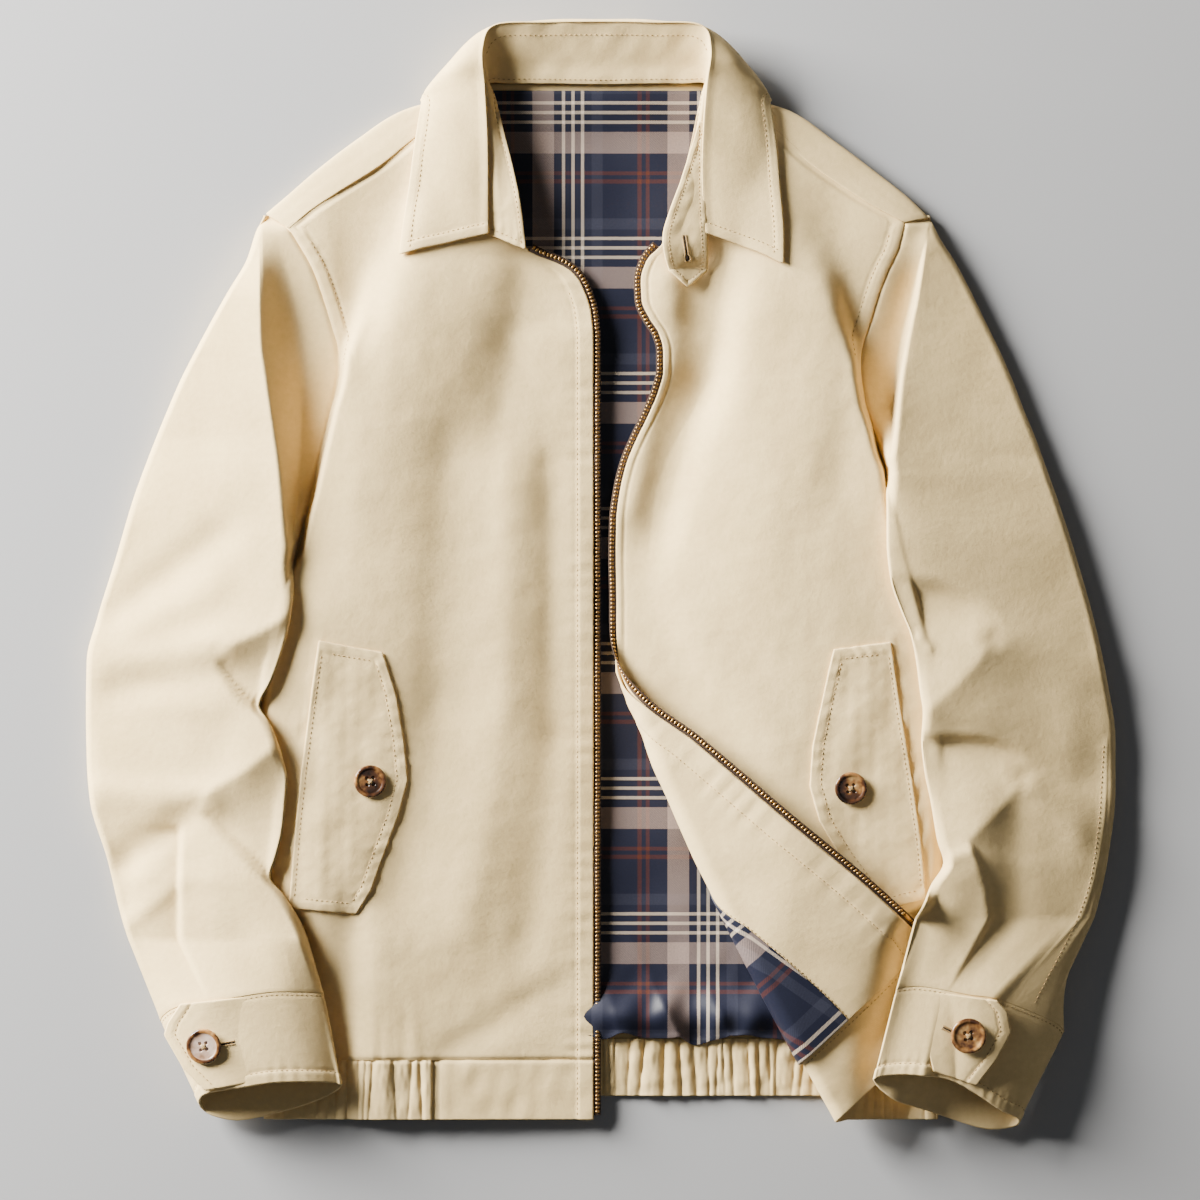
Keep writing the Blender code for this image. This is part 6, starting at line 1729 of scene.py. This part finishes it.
def button(name, x, y, z, tilt, diameter):
    """Four-hole button: a profile turned round its axis, pressed in at four holes."""
    rings, around = 60, 72
    turns = np.arange(around) * 2 * math.pi / around
    shares = np.linspace(0, len(BUTTON_PROFILE) - 1, rings)
    radius, height = (np.interp(shares, np.arange(len(part)), part)[:, None]
                      for part in np.array(BUTTON_PROFILE).T)
    radius = radius * diameter / 2
    points = grid_of(radius * np.cos(turns), radius * np.sin(turns), height)
    for hole in ((-2.0, -2.0), (-2.0, 2.0), (2.0, -2.0), (2.0, 2.0)):
        away = np.linalg.norm(points[..., :2] - hole, axis=-1)
        points[..., 2] -= 1.6 * step_up((1.25 - away) / 0.5)
    points = np.concatenate([points.reshape(-1, 3), [[0, 0, 0.0], [0, 0, 1.9]]])
    faces = round_faces(rings, around)
    turned = np.array(Euler(tilt).to_matrix()).T
    piece = place(name, points @ turned + (x, y, z), faces, HORN,
                  replaces=(name,))
    if name == "button_cuff_right":
        piece.data.materials.append(PALE_HORN)
        first = faces[:, 0]
        pale = (np.linalg.norm(points[first], axis=1) < 0.40 * diameter) & (
            (first > 25 * around) | (faces[:, 2] == rings * around))
        piece.data.polygons.foreach_set("material_index", pale.astype(np.int32))
    # Thread through the holes, crosswise.
    for turn in (math.pi / 4, -math.pi / 4):
        run = np.array([math.cos(turn), math.sin(turn), 0.0])
        line = (np.array([-run, run]) * 2.6 + (0.0, 0.0, 2.1)) @ turned + (x, y, z)
        for shift in (-0.35, 0.35):
            ends = line + np.array([-run[1], run[0], 0.0]) * shift
            spindle("buttons", ends[:1], ends[1:], np.array([[0.0, 0.0, 1.0]]), 0.30, 0.30)


def place_buttons(side):
    """The pocket button and the cuff button of one side, each on the slope of what carries it."""
    def flap(x, y):
        return front_height(side, x, y) + SHELL / 2 + 0.2 + FLAP_WALL

    def tab(x, y):
        return tab_height(side, np.array(x), np.array(y)) + TAB_THICK / 2

    for name, height, (x, y), turn, diameter in (
            ("button_pocket_", flap, POCKET_BUTTONS[side], 0.1, 21.0),
            ("button_cuff_", tab, CUFF_BUTTONS[side], 0.15, 23.0)):
        across_it, upward = slope_of(height, x, y, 8.0)
        tilt = (math.atan(upward), -math.atan(across_it), turn)
        button(name + side, x, y, float(height(x, y)) + 0.5, tilt, diameter)


# ---------------------------------------------------------------- zip

ZIP_TOP = {"right": 212.5, "left": 215}


def zip_line(side, away, y):
    """Points `away` mm outside a zip edge at the edge heights y."""
    table, inward = FRONTS[side]["zip"], FRONTS[side]["inward"]
    edge = level(table, y)
    slope = (level(table, y + 1) - level(table, y - 1)) / 2
    size = np.sqrt(1 + slope ** 2)
    x = edge + away * inward / size
    y = y - away * inward * slope / size
    if side == "left":
        return turn_back(x, y, -0.2)
    return grid_of(x, y, front_height("right", np.broadcast_to(edge, x.shape), y) + 0.2)


BEAD_PITCH, BEAD_OUT, BEAD_SIZE = 2.6, 3.4, (1.35, 0.85, 0.85)


def rounded(value):
    """A sine or cosine raised to the power 0.6, which makes an ellipsoid a rounded block."""
    return np.sign(value) * np.abs(value) ** 0.6


def zip_side(side):
    """One side of the zip: its dark tape and its row of teeth, which are rounded blocks."""
    top = ZIP_TOP[side]
    y = np.arange(HEM_SEAM_Y - 36.0 * (side == "right"), top, 2.4)[:, None]
    tape = zip_line(side, np.array([[-2.4, -0.8, 0.6, 2.0, 3.4, 4.6, 5.2]]), y)
    tape[..., 2] -= 0.35
    cloth("zip_tape_" + side, tape, 0.7, TAPE)
    fine = np.arange(y[0, 0] + 1.0, top, 0.2)
    low, high = (zip_line(side, np.full(len(fine), BEAD_OUT + more), fine) for more in (-1, 1))
    run = run_of((low + high) / 2)
    at = np.arange(1.0, run[-1] - 1.0, BEAD_PITCH)
    centre, out = (np.stack([np.interp(at, run, part) for part in points.T], axis=1)
                   for points in ((low + high) / 2, high - low))
    ahead, out = unit(np.gradient(centre, axis=0)), unit(out)
    up = np.cross(ahead, out) * FRONTS[side]["inward"]
    if side == "right":
        up *= np.sign(up[:, 2:] + 1e-6)
    rings, around = 5, 10
    turn, tilt = np.meshgrid(np.arange(around) * 2 * math.pi / around,
                             np.radians([-60, -25, 10, 40, 65]))
    flat = rounded(np.cos(tilt))
    block = grid_of(rounded(np.cos(turn)) * flat, rounded(np.sin(turn)) * flat,
                    rounded(np.sin(tilt))).reshape(-1, 3)
    block = np.concatenate([block, [[0, 0, -1], [0, 0, 1]]]) * BEAD_SIZE
    bodies = centre[:, None] + np.einsum("pk,nkc->npc", block, np.stack([out, ahead, up], axis=1))
    faces = round_faces(rings, around)
    place_bodies("zip_teeth_" + side, bodies, faces[:, ::-1] if side == "left" else faces, BRASS,
                 replaces=("zip_teeth_" + side,))


# ---------------------------------------------------------------- floor, lights and camera

SENSOR = 36.0                   # mm
CAMERA = (0.0, -0.01495, 4.0)   # metres, as the next two
MIDDLE_Z = 0.012                # height of the middle of the jacket
VIEW = 0.78                     # width of the view at that height


def studio():
    """Pale floor, soft lights and a camera straight above."""
    scene = bpy.context.scene
    mesh = bpy.data.meshes.new("floor")
    mesh.from_pydata([(-6, -6, -0.0006), (6, -6, -0.0006), (6, 6, -0.0006), (-6, 6, -0.0006)], [],
                     [(0, 1, 2, 3)])
    floor = bpy.data.objects.new("floor", mesh)
    scene.collection.objects.link(floor)
    material, tree, shader = new_material("pale floor")
    feed(tree, shader, Base_Color=(0.34, 0.345, 0.36, 1.0), Roughness=0.9)
    mesh.materials.append(material)
    world = bpy.data.worlds.new("studio")
    world.use_nodes = True
    feed(world.node_tree, world.node_tree.nodes["Background"], Color=(0.92, 0.95, 1.0, 1.0),
         Strength=0.06)
    scene.world = world
    for name, where, size, power, colour in (
            ("key", (-2.10, 1.25, 0.69), 1.4, 700.0, (1.0, 0.97, 0.91)),
            ("fill", (0.9, -0.4, 2.6), 2.2, 4.5, (1.0, 0.98, 0.95))):
        light = bpy.data.lights.new(name, "AREA")
        light.energy, light.size, light.color = power, size, colour
        lamp = bpy.data.objects.new(name, light)
        lamp.location = where
        lamp.rotation_mode = "QUATERNION"
        lamp.rotation_quaternion = Vector(where).normalized().to_track_quat("Z", "Y")
        scene.collection.objects.link(lamp)
    camera = bpy.data.objects.new("camera", bpy.data.cameras.new("camera"))
    camera.data.lens = SENSOR * (CAMERA[2] - MIDDLE_Z) / VIEW
    camera.location = CAMERA
    camera.data.clip_end = 20.0
    scene.collection.objects.link(camera)
    scene.camera = camera


back()
back_lining()
hem_band_back()
front_right()
hem_band_right()
front_left()
facing_left()
lining_left()
hem_band_left()
throat_tab(collar_stand())
collar_leaf()
pocket_flap("right", FLAP_RIGHT, "left")
pocket_flap("left", FLAP_LEFT, "right")
for side in ("right", "left"):
    sleeve(side)
    cuff(side)
    cuff_tab(side)
    place_buttons(side)
    zip_side(side)
finish_sewing()
studio()
